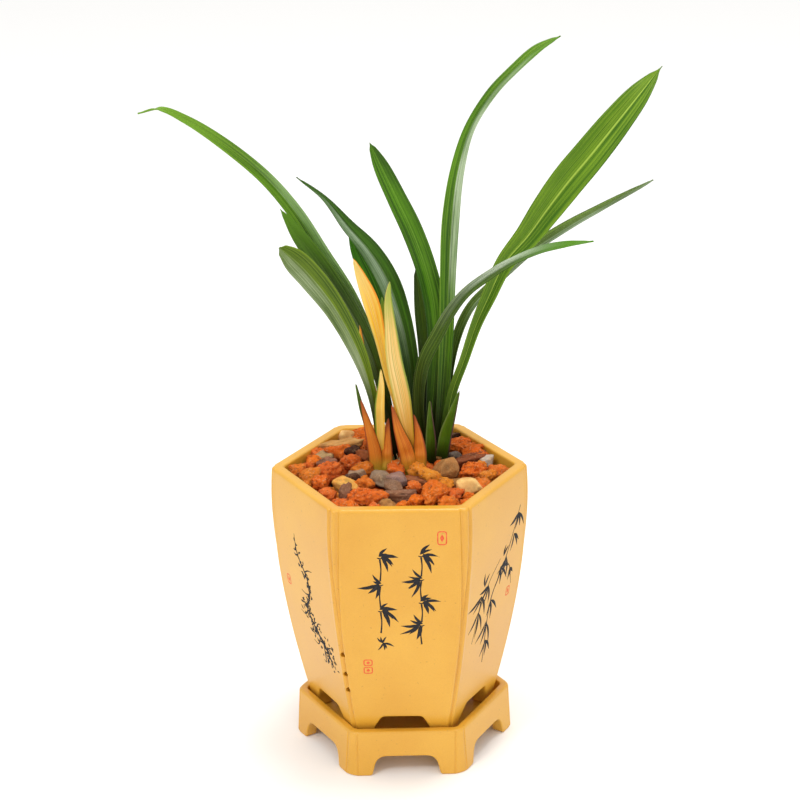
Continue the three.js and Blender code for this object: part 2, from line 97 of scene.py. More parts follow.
camera = linked("camera", bpy.data.cameras.new("camera"))
camera.data.lens = 92.65
camera.data.sensor_width = 36
camera.data.clip_end = 20
camera.matrix_world = look_at(Vector((AXIS + VIEW["target"]) * MM), VIEW["azimuth"],
                              VIEW["elevation"], VIEW["distance"], VIEW["roll"])
bpy.context.scene.camera = camera


# ---- Meshes ---------------------------------------------------------------------------------

def add_mesh(name, points, faces, material, uvs=None, colours=None, sharp=None):
    """A smooth-shaded object from points in millimetres about the pot's axis."""
    mesh = bpy.data.meshes.new(name)
    mesh.from_pydata(((points + AXIS) * MM).tolist(), [], [list(f) for f in faces])
    mesh.shade_smooth()
    if sharp:
        mesh.set_sharp_from_angle(angle=math.radians(sharp))
    corners = np.zeros(len(mesh.loops), np.int32)
    mesh.loops.foreach_get("vertex_index", corners)
    if uvs is not None:
        layer = mesh.uv_layers.new(name="strap")
        layer.data.foreach_set("uv", uvs[corners].astype(np.float32).ravel())
    if colours is not None:
        layer = mesh.color_attributes.new("tint", "FLOAT_COLOR", "POINT")
        rgba = np.concatenate([colours, np.ones((len(colours), 1))], axis=1)
        layer.data.foreach_set("color", rgba.astype(np.float32).ravel())
    mesh.materials.append(material)
    return linked(name, mesh)


def add_piece(name, points, faces, material, slot, replaces=(), **more):
    piece = add_mesh(name, points, faces, material, **more)
    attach(piece, "root")
    if replaces:
        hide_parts(*replaces)
    return piece


def grid_faces(rows, columns, wrap_rows=False, wrap_columns=True):
    r = np.arange(rows if wrap_rows else rows - 1)
    c = np.arange(columns if wrap_columns else columns - 1)
    r, c = (a.ravel() for a in np.meshgrid(r, c, indexing="ij"))
    up, on = (r + 1) % rows, (c + 1) % columns
    return np.stack([r * columns + c, r * columns + on, up * columns + on, up * columns + c], 1)


def close_ends(points, faces, rows, columns):
    """Adds a point at the middle of the first and the last row, and the faces that meet it."""
    points = np.vstack([points, points[:columns].mean(0), points[-columns:].mean(0)])
    first, last, start = len(points) - 2, len(points) - 1, (rows - 1) * columns
    around = np.arange(columns)
    on = (around + 1) % columns
    ends = [(int(b), int(a), first) for a, b in zip(around, on)]
    ends += [(int(start + a), int(start + b), last) for a, b in zip(around, on)]
    return points, [tuple(map(int, f)) for f in faces] + ends


def joined(parts):
    """One list of points and one of faces from several (points, faces)."""
    points = np.vstack([part for part, _ in parts])
    starts = np.cumsum([0] + [len(part) for part, _ in parts])
    faces = [tuple(int(start + i) for i in face)
             for (_, part_faces), start in zip(parts, starts) for face in part_faces]
    return points, faces


def turned(angle):
    """The matrix that turns rows of points about Z."""
    c, s = math.cos(angle), math.sin(angle)
    return np.array([[c, s, 0], [-s, c, 0], [0, 0, 1]])


def smoothstep(low, high, x):
    t = np.clip((x - low) / (high - low), 0, 1)
    return t * t * (3 - 2 * t)


class SmoothNoise:
    """Repeatable 3-D noise from -1 to 1, from a lattice of random numbers."""

    def __init__(self, seed, size=24):
        self.size = size
        self.lattice = np.random.default_rng(seed).uniform(-1, 1, (size, size, size))

    def __call__(self, points):
        base = np.floor(points).astype(int)
        part = points - base
        part = part * part * (3 - 2 * part)
        total = np.zeros(len(points))
        for corner in np.ndindex(2, 2, 2):
            at = (base + corner) % self.size
            weight = np.prod(np.where(corner, part, 1 - part), axis=1)
            total += weight * self.lattice[at[:, 0], at[:, 1], at[:, 2]]
        return total


noise = SmoothNoise(11)


# ---- Materials ------------------------------------------------------------------------------

def linear(hex_colour):
    """A #rrggbb colour as the linear red, green and blue that shaders take."""
    channels = [int(hex_colour[i:i + 2], 16) / 255 for i in (1, 3, 5)]
    return [c / 12.92 if c < 0.04045 else ((c + 0.055) / 1.055) ** 2.4 for c in channels]


class Shade:
    """Builds a node material step by step. A socket or a plain value can feed any input."""

    def __init__(self, name, **surface):
        self.material = bpy.data.materials.new(name)
        self.material.use_nodes = True
        self.tree = self.material.node_tree
        self.surface = self.tree.nodes["Principled BSDF"]
        for key, value in surface.items():
            self.surface.inputs[key.replace("_", " ")].default_value = value

    def feed(self, socket, value):
        if isinstance(value, bpy.types.NodeSocket):
            self.tree.links.new(value, socket)
        elif isinstance(value, str):
            socket.default_value = [*linear(value), 1]
        else:
            socket.default_value = value

    def add(self, kind, output, settings=(), **inputs):
        node = self.tree.nodes.new(kind)
        for key, value in dict(settings).items():
            setattr(node, key, value)
        for key, value in inputs.items():
            self.feed(node.inputs[int(key[1:]) if key[1:].isdigit() else key.replace("_", " ")], value)
        return node.outputs[output]

    def place(self, scale):
        """Object coordinates, stretched by one number or by three."""
        scale = (scale,) * 3 if isinstance(scale, (int, float)) else scale
        coordinates = self.add("ShaderNodeTexCoord", "Object")
        return self.add("ShaderNodeMapping", "Vector", Vector=coordinates, Scale=scale)

    def strap(self, scale, offset=(0, 0, 0)):
        """Blade coordinates: x across from 0 to 1, y along in decimetres."""
        coordinates = self.add("ShaderNodeUVMap", "UV", {"uv_map": "strap"})
        return self.add("ShaderNodeMapping", "Vector", Vector=coordinates, Scale=scale, Location=offset)

    def noise(self, vector, scale=1.0, detail=3.0, roughness=0.5):
        return self.add("ShaderNodeTexNoise", "Fac", Vector=vector, Scale=scale, Detail=detail,
                        Roughness=roughness)

    def range(self, value, low, high, to_low=0.0, to_high=1.0, smooth=False):
        kind = "SMOOTHSTEP" if smooth else "LINEAR"
        return self.add("ShaderNodeMapRange", "Result", {"interpolation_type": kind}, Value=value,
                        From_Min=low, From_Max=high, To_Min=to_low, To_Max=to_high)

    def mix(self, factor, first, second, blend="MIX"):
        node = self.tree.nodes.new("ShaderNodeMix")
        node.data_type = "RGBA"
        node.blend_type = blend
        for index, value in ((0, factor), (6, first), (7, second)):
            self.feed(node.inputs[index], value)
        return node.outputs[2]

    def math(self, operation, first, second=0.0):
        return self.add("ShaderNodeMath", "Value", {"operation": operation}, _0=first, _1=second)

    def finish(self, colour, roughness=None, bump=None, distance=0.0002, strength=0.5):
        self.feed(self.surface.inputs["Base Color"], colour)
        if roughness is not None:
            self.feed(self.surface.inputs["Roughness"], roughness)
        if bump is not None:
            normal = self.add("ShaderNodeBump", "Normal", Height=bump, Distance=distance,
                              Strength=strength)
            self.feed(self.surface.inputs["Normal"], normal)
        return self.material


def clay_material():
    """Unglazed tan clay, burnished to a satin, with fine grog and faint turning clouds."""
    shade = Shade("clay", Specular_IOR_Level=0.6)
    clouds = shade.noise(shade.place(22), detail=4)
    grog = shade.noise(shade.place(1500), detail=2)
    fleck = shade.range(shade.noise(shade.place(620), detail=1), 0.72, 0.78)
    colour = shade.mix(shade.range(clouds, 0.3, 0.7), "#d79c2c", "#e0a938")
    colour = shade.mix(shade.range(grog, 0.35, 0.75, 0.0, 0.2), colour, "#bd7d22")
    colour = shade.mix(shade.math("MULTIPLY", fleck, 0.3), colour, "#7a4c18")
    roughness = shade.range(clouds, 0.3, 0.7, 0.28, 0.36)
    bump = shade.math("ADD", shade.math("MULTIPLY", grog, 0.3), shade.noise(shade.place(260)))
    return shade.finish(colour, roughness, bump, distance=0.00008, strength=0.3)


def lit_green(colour, gain):
    """A leaf green made brighter by `gain`, and a little yellower."""
    red, green, blue = (int(colour[i:i + 2], 16) for i in (1, 3, 5))
    return f"#{min(255, int(red * gain * 1.1)):02x}{min(255, int(green * gain)):02x}{blue:02x}"


def blade_material(name, dark, light, rib=None, base=None, edges=None, tip=None, stripe=None,
                   painted_sheen=None, vein=None, seed=0.0, roughness=0.3, veins=44, length=1.0, base_reach=0.9,
                   stripe_amount=0.8, gain=None):
    """A strap leaf: fine veins along it, soft clouds, and its own midrib, edges and tip, and a tone at its
    base.
    `base` is the colour towards its foot: painted shade for the leaves and the green sheaths, where the
    blades crowd at the gravel, and the own base colour of the shoots and the orange sheaths.
    `edges` are the left and the right edge, `stripe` thin lines, `vein` the palest veins, and the
    sheen a painted highlight, a paler glare on one half of the blade: its side, colour and where it
    starts and ends. Lengths along the blade are in decimetres. `gain` brightens its greens."""
    if gain:
        dark, light, vein = (lit_green(tone, gain) for tone in (dark, light, vein or light))
    shade = Shade(name, Specular_IOR_Level=0.3, Specular_Tint=(0.95, 1, 0.6, 1))
    fine = shade.noise(shade.strap((veins, 0.5, 1), (seed, 0, 0)), detail=2)
    broad = shade.noise(shade.strap((8, 0.35, 1), (seed + 3, 0, 0)), detail=2)
    clouds = shade.noise(shade.strap((1.4, 2.0, 1), (seed + 7, 0, 0)), detail=3)
    plain = shade.tree.nodes.new("ShaderNodeSeparateXYZ")
    shade.feed(plain.inputs[0], shade.strap((1, 1, 1)))
    across, along = plain.outputs[0], plain.outputs[1]
    off_middle = shade.math("ABSOLUTE", shade.math("SUBTRACT", across, 0.5))
    mixed = shade.math("ADD", shade.math("MULTIPLY", fine, 0.4), shade.math("MULTIPLY", broad, 0.35))
    mixed = shade.math("ADD", mixed, shade.math("MULTIPLY", clouds, 0.25))
    colour = shade.mix(shade.range(mixed, 0.43, 0.57), dark, light)
    veined = shade.range(fine, 0.54, 0.64, 0.0, 0.4)
    colour = shade.mix(veined, colour, vein or light)
    # Painted highlight: a paler glare on one half of the fold, faded in and out along the blade.
    if painted_sheen:
        side, glare_colour, start, end = painted_sheen
        half = shade.range(across, 0.44, 0.52, 1.0 - side, side, smooth=True)
        patch = shade.math("MULTIPLY", shade.range(clouds, 0.4, 0.6, 0.3, 1.0),
                           shade.range(fine, 0.4, 0.58, 0.2, 1.0))
        patch = shade.math("MULTIPLY", patch, shade.range(along, start, start + 0.4, smooth=True))
        patch = shade.math("MULTIPLY", patch, shade.range(along, end - 0.4, end, 1.0, 0.0, smooth=True))
        colour = shade.mix(shade.math("MULTIPLY", half, patch), colour, glare_colour)
    if stripe:
        lines = shade.noise(shade.strap((22, 0.25, 1), (seed + 11, 0, 0)), detail=1)
        colour = shade.mix(shade.range(lines, 0.5, 0.66, 0.0, stripe_amount), colour, stripe)
    if tip:
        near_tip = shade.range(along, length * 0.7, length, smooth=True)
        colour = shade.mix(near_tip, colour, tip)
    for low, high, tint in ((0.18, 0.02, edges[1]), (0.82, 0.98, edges[0])) if edges else ():
        if tint:
            colour = shade.mix(shade.range(across, low, high, 0.0, 0.9, smooth=True), colour, tint)
    # Towards the foot: painted shade for the leaves and green sheaths, where the blades crowd at the gravel;
    # the shoots' and orange sheaths' own base colour.
    if base:
        near_base = shade.range(along, 0.05, base_reach, 1.0, 0.0, smooth=True)
        colour = shade.mix(near_base, colour, base)
    middle = shade.range(off_middle, 0.012, 0.04, 1.0, 0.0, smooth=True)
    if rib:
        colour = shade.mix(shade.math("MULTIPLY", middle, 0.8), colour, rib)
    ridges = shade.noise(shade.strap((veins * 0.6, 0.3, 1), (seed + 5, 0, 0)), detail=2)
    bump = shade.math("SUBTRACT", ridges, shade.math("MULTIPLY", middle, 0.5))
    gloss = shade.range(broad, 0.3, 0.7, roughness - 0.06, roughness + 0.08)
    return shade.finish(colour, gloss, bump, distance=0.0005, strength=0.5)


def grain_material(name, pore_scale, pore_depth, roughness, speck, fibre=False):
    """Stone or bark: the grain's tint, its own colour with painted shade in its pits, broken up by grain,
    pores darkened as painted shade, and pale dust.
    """
    shade = Shade(name, Roughness=roughness, Specular_IOR_Level=0.12)
    tint = shade.add("ShaderNodeVertexColor", "Color", {"layer_name": "tint"})
    clouds = shade.noise(shade.place(170), detail=5, roughness=0.65)
    fine = shade.noise(shade.place(pore_scale), detail=4, roughness=0.7)
    pores = shade.add("ShaderNodeTexVoronoi", "Distance", Vector=shade.place(pore_scale))
    if fibre:
        pores = shade.noise(shade.place((pore_scale * 0.12, pore_scale, pore_scale)), detail=4)
    colour = shade.mix(shade.range(clouds, 0.35, 0.65), "#ffffff", "#f6e2cc")
    colour = shade.mix(1.0, tint, colour, blend="MULTIPLY")
    colour = shade.mix(shade.range(fine, 0.55, 0.68, 0.0, speck), colour, "#f7cf9a")
    # Painted shade: the pores, and the fibre grooves of bark, darkened towards a deep brown.
    dark = shade.range(pores, 0.06, 0.26, 0.6, 0.0)
    colour = shade.mix(dark, colour, "#5e220a" if not fibre else "#24140b")
    rough = shade.noise(shade.place(pore_scale * 2.2), detail=3, roughness=0.7)
    bump = shade.math("ADD", shade.range(pores, 0.0, 0.45), shade.math("MULTIPLY", fine, 0.8))
    bump = shade.math("ADD", bump, shade.math("MULTIPLY", rough, 0.5))
    return shade.finish(colour, None, bump, distance=pore_depth, strength=0.8)


def flat_material(name, low, high, scale, roughness, bump_distance=0.0001):
    """A simple two-tone surface with a fine grain."""
    shade = Shade(name, Roughness=roughness)
    clouds = shade.noise(shade.place(scale), detail=4)
    colour = shade.mix(shade.range(clouds, 0.35, 0.65), low, high)
    return shade.finish(colour, None, clouds, distance=bump_distance)


clay = clay_material()
lava = grain_material("lava", 820, 0.0016, 0.92, 0.5)
pebble = grain_material("pebble", 1300, 0.0003, 0.8, 0.3)
bark = grain_material("bark", 620, 0.0009, 0.9, 0.2, fibre=True)
# Near-black painted shade: the bed that shows in the gaps between the grains.
deep_gravel_shade = flat_material("deep_gravel_shade", "#120704", "#4a1c0c", 260, 0.95, 0.001)
dry_fibre = flat_material("dry_fibre", "#a98a55", "#e0c890", 500, 0.8)
ink = flat_material("ink", "#0b0a0c", "#1d1b20", 900, 0.8)
seal_red = flat_material("seal_red", "#d9431f", "#e86a3a", 900, 0.6)
root_skin = flat_material("root_skin", "#b9ad8e", "#e2d8bd", 300, 0.75)
bulb_skin = flat_material("bulb_skin", "#56662c", "#8a8a4a", 240, 0.6)


# ---- Six-sided clay walls -------------------------------------------------------------------

COLUMNS_MIDDLE, COLUMNS_CORNER, CORNER_REACH = 30, 14, 5.0


def spaced(length):
    """Distances along half a side: wide steps first, and close steps over the last stretch."""
    middle = np.linspace(0, length - CORNER_REACH, COLUMNS_MIDDLE, endpoint=False)
    return np.concatenate([middle, np.linspace(length - CORNER_REACH, length, COLUMNS_CORNER + 1)])


def half_side(apothem, strip):
    """Half of a side's width, with half of its corner strip."""
    return apothem * TAN30 - strip / math.sqrt(3) + strip / 2


def side_points(u, z, apothem, strip, relief=None):
    """Points over half a side: x is outwards, y runs from the side's middle to the corner."""
    flat = apothem * TAN30 - strip / math.sqrt(3)
    over = np.clip(u - flat, 0, None)
    x = apothem - over * SIN30
    y = np.minimum(u, flat) + over * COS30
    if relief is not None:
        x, y = x + relief * COS30, y + relief * SIN30
    return np.stack(np.broadcast_arrays(x, y, z), 1)


def all_round(rows):
    """Mirrors each half side and repeats it for the six sides."""
    rings = []
    for half in rows:
        mirrored = half[:0:-1] * [1, -1, 1]
        side = np.vstack([mirrored, half[:-1]])
        rings.append(np.vstack([side @ turned((k + 0.5) * TURN) for k in range(SIDES)]))
    return rings


def rounded_outline(corners, steps=8):
    """A smooth line through corners given as (x, y, rounding)."""
    line = [np.array(corners[0][:2], float)]
    for before, here, after in zip(corners, corners[1:], corners[2:]):
        p = np.array(here[:2], float)
        for_in, for_out = np.array(before[:2]) - p, np.array(after[:2]) - p
        a = p + for_in / np.linalg.norm(for_in) * here[2]
        b = p + for_out / np.linalg.norm(for_out) * here[2]
        for t in np.linspace(0, 1, steps):
            line.append((1 - t) ** 2 * a + 2 * t * (1 - t) * p + t * t * b)
    line.append(np.array(corners[-1][:2], float))
    return np.array(line)


def resample(line):
    """The line at the columns' spacing, with the direction into the clay at each point."""
    steps = np.concatenate([[0], np.cumsum(np.linalg.norm(np.diff(line, axis=0), axis=1))])
    at = spaced(steps[-1])
    points = np.stack([np.interp(at, steps, line[:, i]) for i in (0, 1)], 1)
    ahead = np.stack([np.interp(at + 0.3, steps, line[:, i]) for i in (0, 1)], 1)
    behind = np.stack([np.interp(at - 0.3, steps, line[:, i]) for i in (0, 1)], 1)
    along = ahead - behind
    along /= np.linalg.norm(along, axis=1, keepdims=True)
    return points, np.stack([-along[:, 1], along[:, 0]], 1)


def footed_wall(outline, apothem_at, strip_at, wall, inner_strip, inside_top, join, relief_at,
                fillet=0.9, inner_fillet=0.35):
    """Rows of a wall that stands on cut-out feet: from the top of its inside, down and around
    the cut edge, and up its outside as far as `join`."""
    line, inward = resample(outline)
    keep = outline[-2][0] + 1.0

    def row(u, z, depth, blend=1.0):
        apothem = apothem_at(z) - depth
        strip = strip_at(z) + (inner_strip - strip_at(z)) * min(1, depth / wall)
        full, outer_full = half_side(apothem, strip), half_side(apothem_at(z), strip_at(z))
        squeezed = keep + (u - keep) * (full - keep) / (outer_full - keep)
        u = np.where(u > keep, squeezed, u) if depth > 0 else u
        relief = relief_at(half_side(apothem_at(z), strip_at(z)) - u, z) * blend if depth < 0.5 else None
        return side_points(np.clip(u, 0, full), z, apothem, strip, relief)

    rows = []
    inner_u = spaced(half_side(apothem_at(inside_top) - wall, inner_strip))
    cut_inner = line + inward * inner_fillet
    for t in np.linspace(1, 0, 7):
        z = cut_inner[:, 1] + (inside_top - cut_inner[:, 1]) * t
        foot_row = row(cut_inner[:, 0], z, wall)
        top_row = side_points(inner_u, z, apothem_at(z) - wall, inner_strip)
        rows.append(foot_row + (top_row - foot_row) * t)
    for angle in np.radians([30, 60, 90]):
        at = line + inward * inner_fillet * (1 - math.sin(angle))
        rows.append(row(at[:, 0], at[:, 1], wall - inner_fillet * (1 - math.cos(angle))))
    for depth in np.linspace(wall - inner_fillet, fillet, 4)[1:-1]:
        rows.append(row(line[:, 0], line[:, 1], depth))
    for angle in np.radians([90, 67, 45, 22, 0]):
        at = line + inward * fillet * (1 - math.sin(angle))
        rows.append(row(at[:, 0], at[:, 1], fillet * (1 - math.cos(angle)), blend=math.cos(angle)))
    start = line + inward * fillet
    for t in np.linspace(0, 1, 16)[1:] ** 1.4:
        z = start[:, 1] + (join - start[:, 1]) * t
        share = smoothstep(0, 1, t)
        u = start[:, 0] + (spaced(half_side(apothem_at(join), strip_at(join))) - start[:, 0]) * share
        u = np.minimum(u, half_side(apothem_at(z), strip_at(z)))
        rows.append(side_points(u, z, apothem_at(z), strip_at(z), relief_at(
            half_side(apothem_at(z), strip_at(z)) - u, z)))
    return rows


def wall_row(z, inset, apothem_at, strip, relief_at=None, fade=1.0):
    apothem = apothem_at(z) - inset
    u = spaced(half_side(apothem, strip))
    relief = relief_at(half_side(apothem, strip) - u, z) * fade if relief_at else None
    return side_points(u, z, apothem, strip, relief)


def toward_circle(half_row, radius, share, z):
    """The row drawn in towards a circle about the axis."""
    angle = np.arctan2(half_row[:, 1], half_row[:, 0])
    circle = np.stack([radius * np.cos(angle), radius * np.sin(angle), 0 * angle + z], 1)
    return half_row + (circle - half_row) * share


# ---- Pot ------------------------------------------------------------------------------------

POT = dict(belly=76, belly_height=135, foot=54.5, rim=75, sweep=1.7, rim_strip=5.5, foot_strip=3.8,
           wall=7, foot_wall=8, inner_strip=2, edge=2.0, lip=1.4, floor=6, drain=9,
           notch_height=15.5, notch_top=24, notch_foot=34, foot_rows=34)
VENT = dict(radius=1.65, heights=(35.5, 47, 61), corners=(0, 2, 4))


def pot_strip(z):
    share = np.clip((z - POT_FOOT) / POT_HEIGHT, 0, 1)
    return POT["foot_strip"] + (POT["rim_strip"] - POT["foot_strip"]) * share


def pot_apothem(z):
    h = z - POT_FOOT
    below = np.clip(1 - h / POT["belly_height"], 0, 1)
    above = np.clip((h - POT["belly_height"]) / (POT_HEIGHT - POT["belly_height"]), 0, None)
    radius = POT["belly"] - (POT["belly"] - POT["foot"]) * below ** POT["sweep"]
    radius = radius - (POT["belly"] - POT["rim"]) * above ** 2
    return radius * COS30 + pot_strip(z) / 4


def pot_relief(from_corner, z):
    """The corner's two grooves and the rib between them, which close to one groove at the foot."""
    rise = smoothstep(58, 150, z - POT_FOOT)
    offset = 2.7 * rise
    width = 0.7 + 0.25 * rise
    grooves = np.exp(-((from_corner - offset) / width) ** 2)
    rib = 0.6 * rise * np.exp(-(from_corner / 1.5) ** 2)
    ridge = 0.22 * np.exp(-((from_corner - offset - 1.9) / 1.1) ** 2)
    return rib + ridge - (0.95 + 0.15 * rise) * grooves


def make_pot():
    p = POT
    top = POT_FOOT + p["notch_height"]
    under = top + 0.5
    floor_top = under + p["floor"]
    foot_half = half_side(pot_apothem(POT_FOOT), pot_strip(POT_FOOT))
    outline = rounded_outline([
        (0, top, 0), (p["notch_top"] / 2, top, 2.2),
        (p["notch_foot"] / 2, POT_FOOT + 0.4 * p["notch_height"], 3.0),
        (p["notch_foot"] / 2, POT_FOOT, 1.2), (foot_half, POT_FOOT, 0)])
    rows = footed_wall(outline, pot_apothem, pot_strip, p["foot_wall"], p["inner_strip"], under,
                       POT_FOOT + p["foot_rows"], pot_relief)
    for z in np.linspace(POT_FOOT + p["foot_rows"], POT_RIM - p["edge"], 58)[1:]:
        rows.append(wall_row(z, 0, pot_apothem, pot_strip(z), pot_relief))
    strip = pot_strip(POT_RIM)
    for angle in np.radians([18, 36, 54, 72, 90]):
        z = POT_RIM - p["edge"] * (1 - math.sin(angle))
        inset = p["edge"] * (1 - math.cos(angle))
        rows.append(wall_row(z, inset, pot_apothem, strip, pot_relief, fade=math.cos(angle) * 0.8 + 0.2))
    for inset, fade in ((3.0, 0.1), (4.0, 0), (p["wall"] - p["lip"], 0)):
        rows.append(wall_row(POT_RIM, inset, pot_apothem, strip - inset * 0.45, pot_relief, fade))
    for angle in np.radians([30, 60, 90]):
        inset = p["wall"] - p["lip"] * (1 - math.sin(angle))
        z = POT_RIM - p["lip"] * (1 - math.cos(angle))
        rows.append(wall_row(z, inset, pot_apothem, p["inner_strip"]))
    for z in np.linspace(POT_RIM - p["lip"], floor_top, 12)[1:]:
        rows.append(wall_row(z, p["wall"], pot_apothem, p["inner_strip"]))
    for share, z in ((0.5, floor_top), (1, floor_top), (1, under), (0.5, under)):
        base = wall_row(z, p["foot_wall"] if z == under else p["wall"], pot_apothem, p["inner_strip"])
        rows.append(toward_circle(base, p["drain"], share, z))
    rings = all_round(rows)
    faces = grid_faces(len(rings), len(rings[0]), wrap_rows=True)
    pot = add_piece("pot_body", np.vstack(rings), faces, clay, "clay", ["pot"])
    cut_vents(pot)
    pot.data.set_sharp_from_angle(angle=math.radians(50))
    return pot


def cut_vents(pot):
    """Three small holes through every second corner, one above the other."""
    drills = []
    for corner in VENT["corners"]:
        for height in VENT["heights"]:
            z = POT_FOOT + height
            angle = corner * TURN
            outward = np.array([math.cos(angle), math.sin(angle), 0])
            sideways = np.array([-math.sin(angle), math.cos(angle), 0])
            reach = pot_apothem(z) / COS30
            ring = [VENT["radius"] * (math.cos(a) * sideways + math.sin(a) * np.array([0, 0, 1]))
                    for a in np.linspace(0, 2 * math.pi, 20, endpoint=False)]
            points = np.array([outward * r + [0, 0, z] + q for r in (reach - 14, reach + 4) for q in ring])
            drills.append(close_ends(points, grid_faces(2, 20), 2, 20))
    tool = add_mesh("vent_drill", *joined(drills), clay)
    carve = pot.modifiers.new("vents", "BOOLEAN")
    carve.object = tool
    carve.operation = "DIFFERENCE"
    bpy.context.view_layer.update()
    shaped = bpy.data.meshes.new_from_object(pot.evaluated_get(bpy.context.evaluated_depsgraph_get()))
    pot.modifiers.clear()
    pot.data = shaped
    bpy.data.objects.remove(tool)


# ---- Saucer ---------------------------------------------------------------------------------

SAUCER = dict(rim_strip=5.5, foot_strip=8, flare=2.0, rim_width=5, pot_gap=1.8, edge=1.6, lip=0.9,
              tray=20, floor=6, wall=7, arch_height=12.5, arch_foot=41, arch_shoulder=35, turn=1.2,
              foot_rows=18.5)
SAUCER_APOTHEM = float(pot_apothem(SAUCER_RIM)) + SAUCER["pot_gap"] + SAUCER["rim_width"]


def saucer_strip(z):
    share = np.clip(z / SAUCER_RIM, 0, 1)
    return SAUCER["foot_strip"] + (SAUCER["rim_strip"] - SAUCER["foot_strip"]) * share


def saucer_apothem(z):
    return SAUCER_APOTHEM + SAUCER["flare"] * (1 - z / SAUCER_RIM)


def saucer_relief(from_corner, z):
    """A thin groove along each edge of the corner strip, and a soft roll between them."""
    crease = saucer_strip(z) / 2
    groove = np.exp(-((from_corner - crease) / 0.5) ** 2)
    roll = 0.5 * np.clip(1 - (from_corner / crease) ** 2, 0, 1)
    return roll - 0.7 * groove


def make_saucer():
    s = SAUCER
    foot_half = float(half_side(saucer_apothem(0.0), saucer_strip(0.0)))
    outline = rounded_outline([
        (0, s["arch_height"], 0), (s["arch_shoulder"] / 2, s["arch_height"], 6),
        (s["arch_foot"] / 2, 0, 1.5), (foot_half, 0, 0)])
    under = s["tray"] - s["floor"]
    rows = []
    centre = side_points(spaced(half_side(saucer_apothem(under) - s["wall"], 2)), under,
                         saucer_apothem(under) - s["wall"], 2)
    for share in (1, 0.6, 0.25):
        rows.append(toward_circle(centre, 3, share, under))
    rows += footed_wall(outline, saucer_apothem, saucer_strip, s["wall"], 2, under, s["foot_rows"],
                        saucer_relief)
    for z in np.linspace(s["foot_rows"], SAUCER_RIM - s["edge"], 8)[1:]:
        rows.append(wall_row(z, 0, saucer_apothem, saucer_strip(z), saucer_relief))
    strip = s["rim_strip"]
    for angle in np.radians([22, 45, 67, 90]):
        z = SAUCER_RIM - s["edge"] * (1 - math.sin(angle))
        rows.append(wall_row(z, s["edge"] * (1 - math.cos(angle)), saucer_apothem, strip,
                             saucer_relief, fade=math.cos(angle)))
    for inset in (2.6, s["rim_width"] - s["lip"]):
        rows.append(wall_row(SAUCER_RIM, inset, saucer_apothem, strip - inset * 0.5))
    for angle in np.radians([30, 60, 90]):
        inset = s["rim_width"] - s["lip"] * (1 - math.sin(angle))
        rows.append(wall_row(SAUCER_RIM - s["lip"] * (1 - math.cos(angle)), inset, saucer_apothem, 2.5))
    for z, inset in ((24, 5.4), (21.5, 5.7), (20.5, 6.1), (20.1, 6.8), (s["tray"], 8)):
        rows.append(wall_row(z, inset + saucer_apothem(z) - SAUCER_APOTHEM, saucer_apothem, 2.5))
    tray = rows[-1]
    for share in (0.3, 0.7, 1):
        rows.append(toward_circle(tray, 3, share, s["tray"]))
    rings = all_round(rows)
    points = np.vstack(rings)
    points, faces = close_ends(points, grid_faces(len(rings), len(rings[0])), len(rings), len(rings[0]))
    points = points @ turned(math.radians(s["turn"])) + [*SAUCER_MIDDLE, 0]
    return add_piece("saucer_body", points, faces, clay, "clay", ["saucer"], sharp=50)


make_pot()
make_saucer()
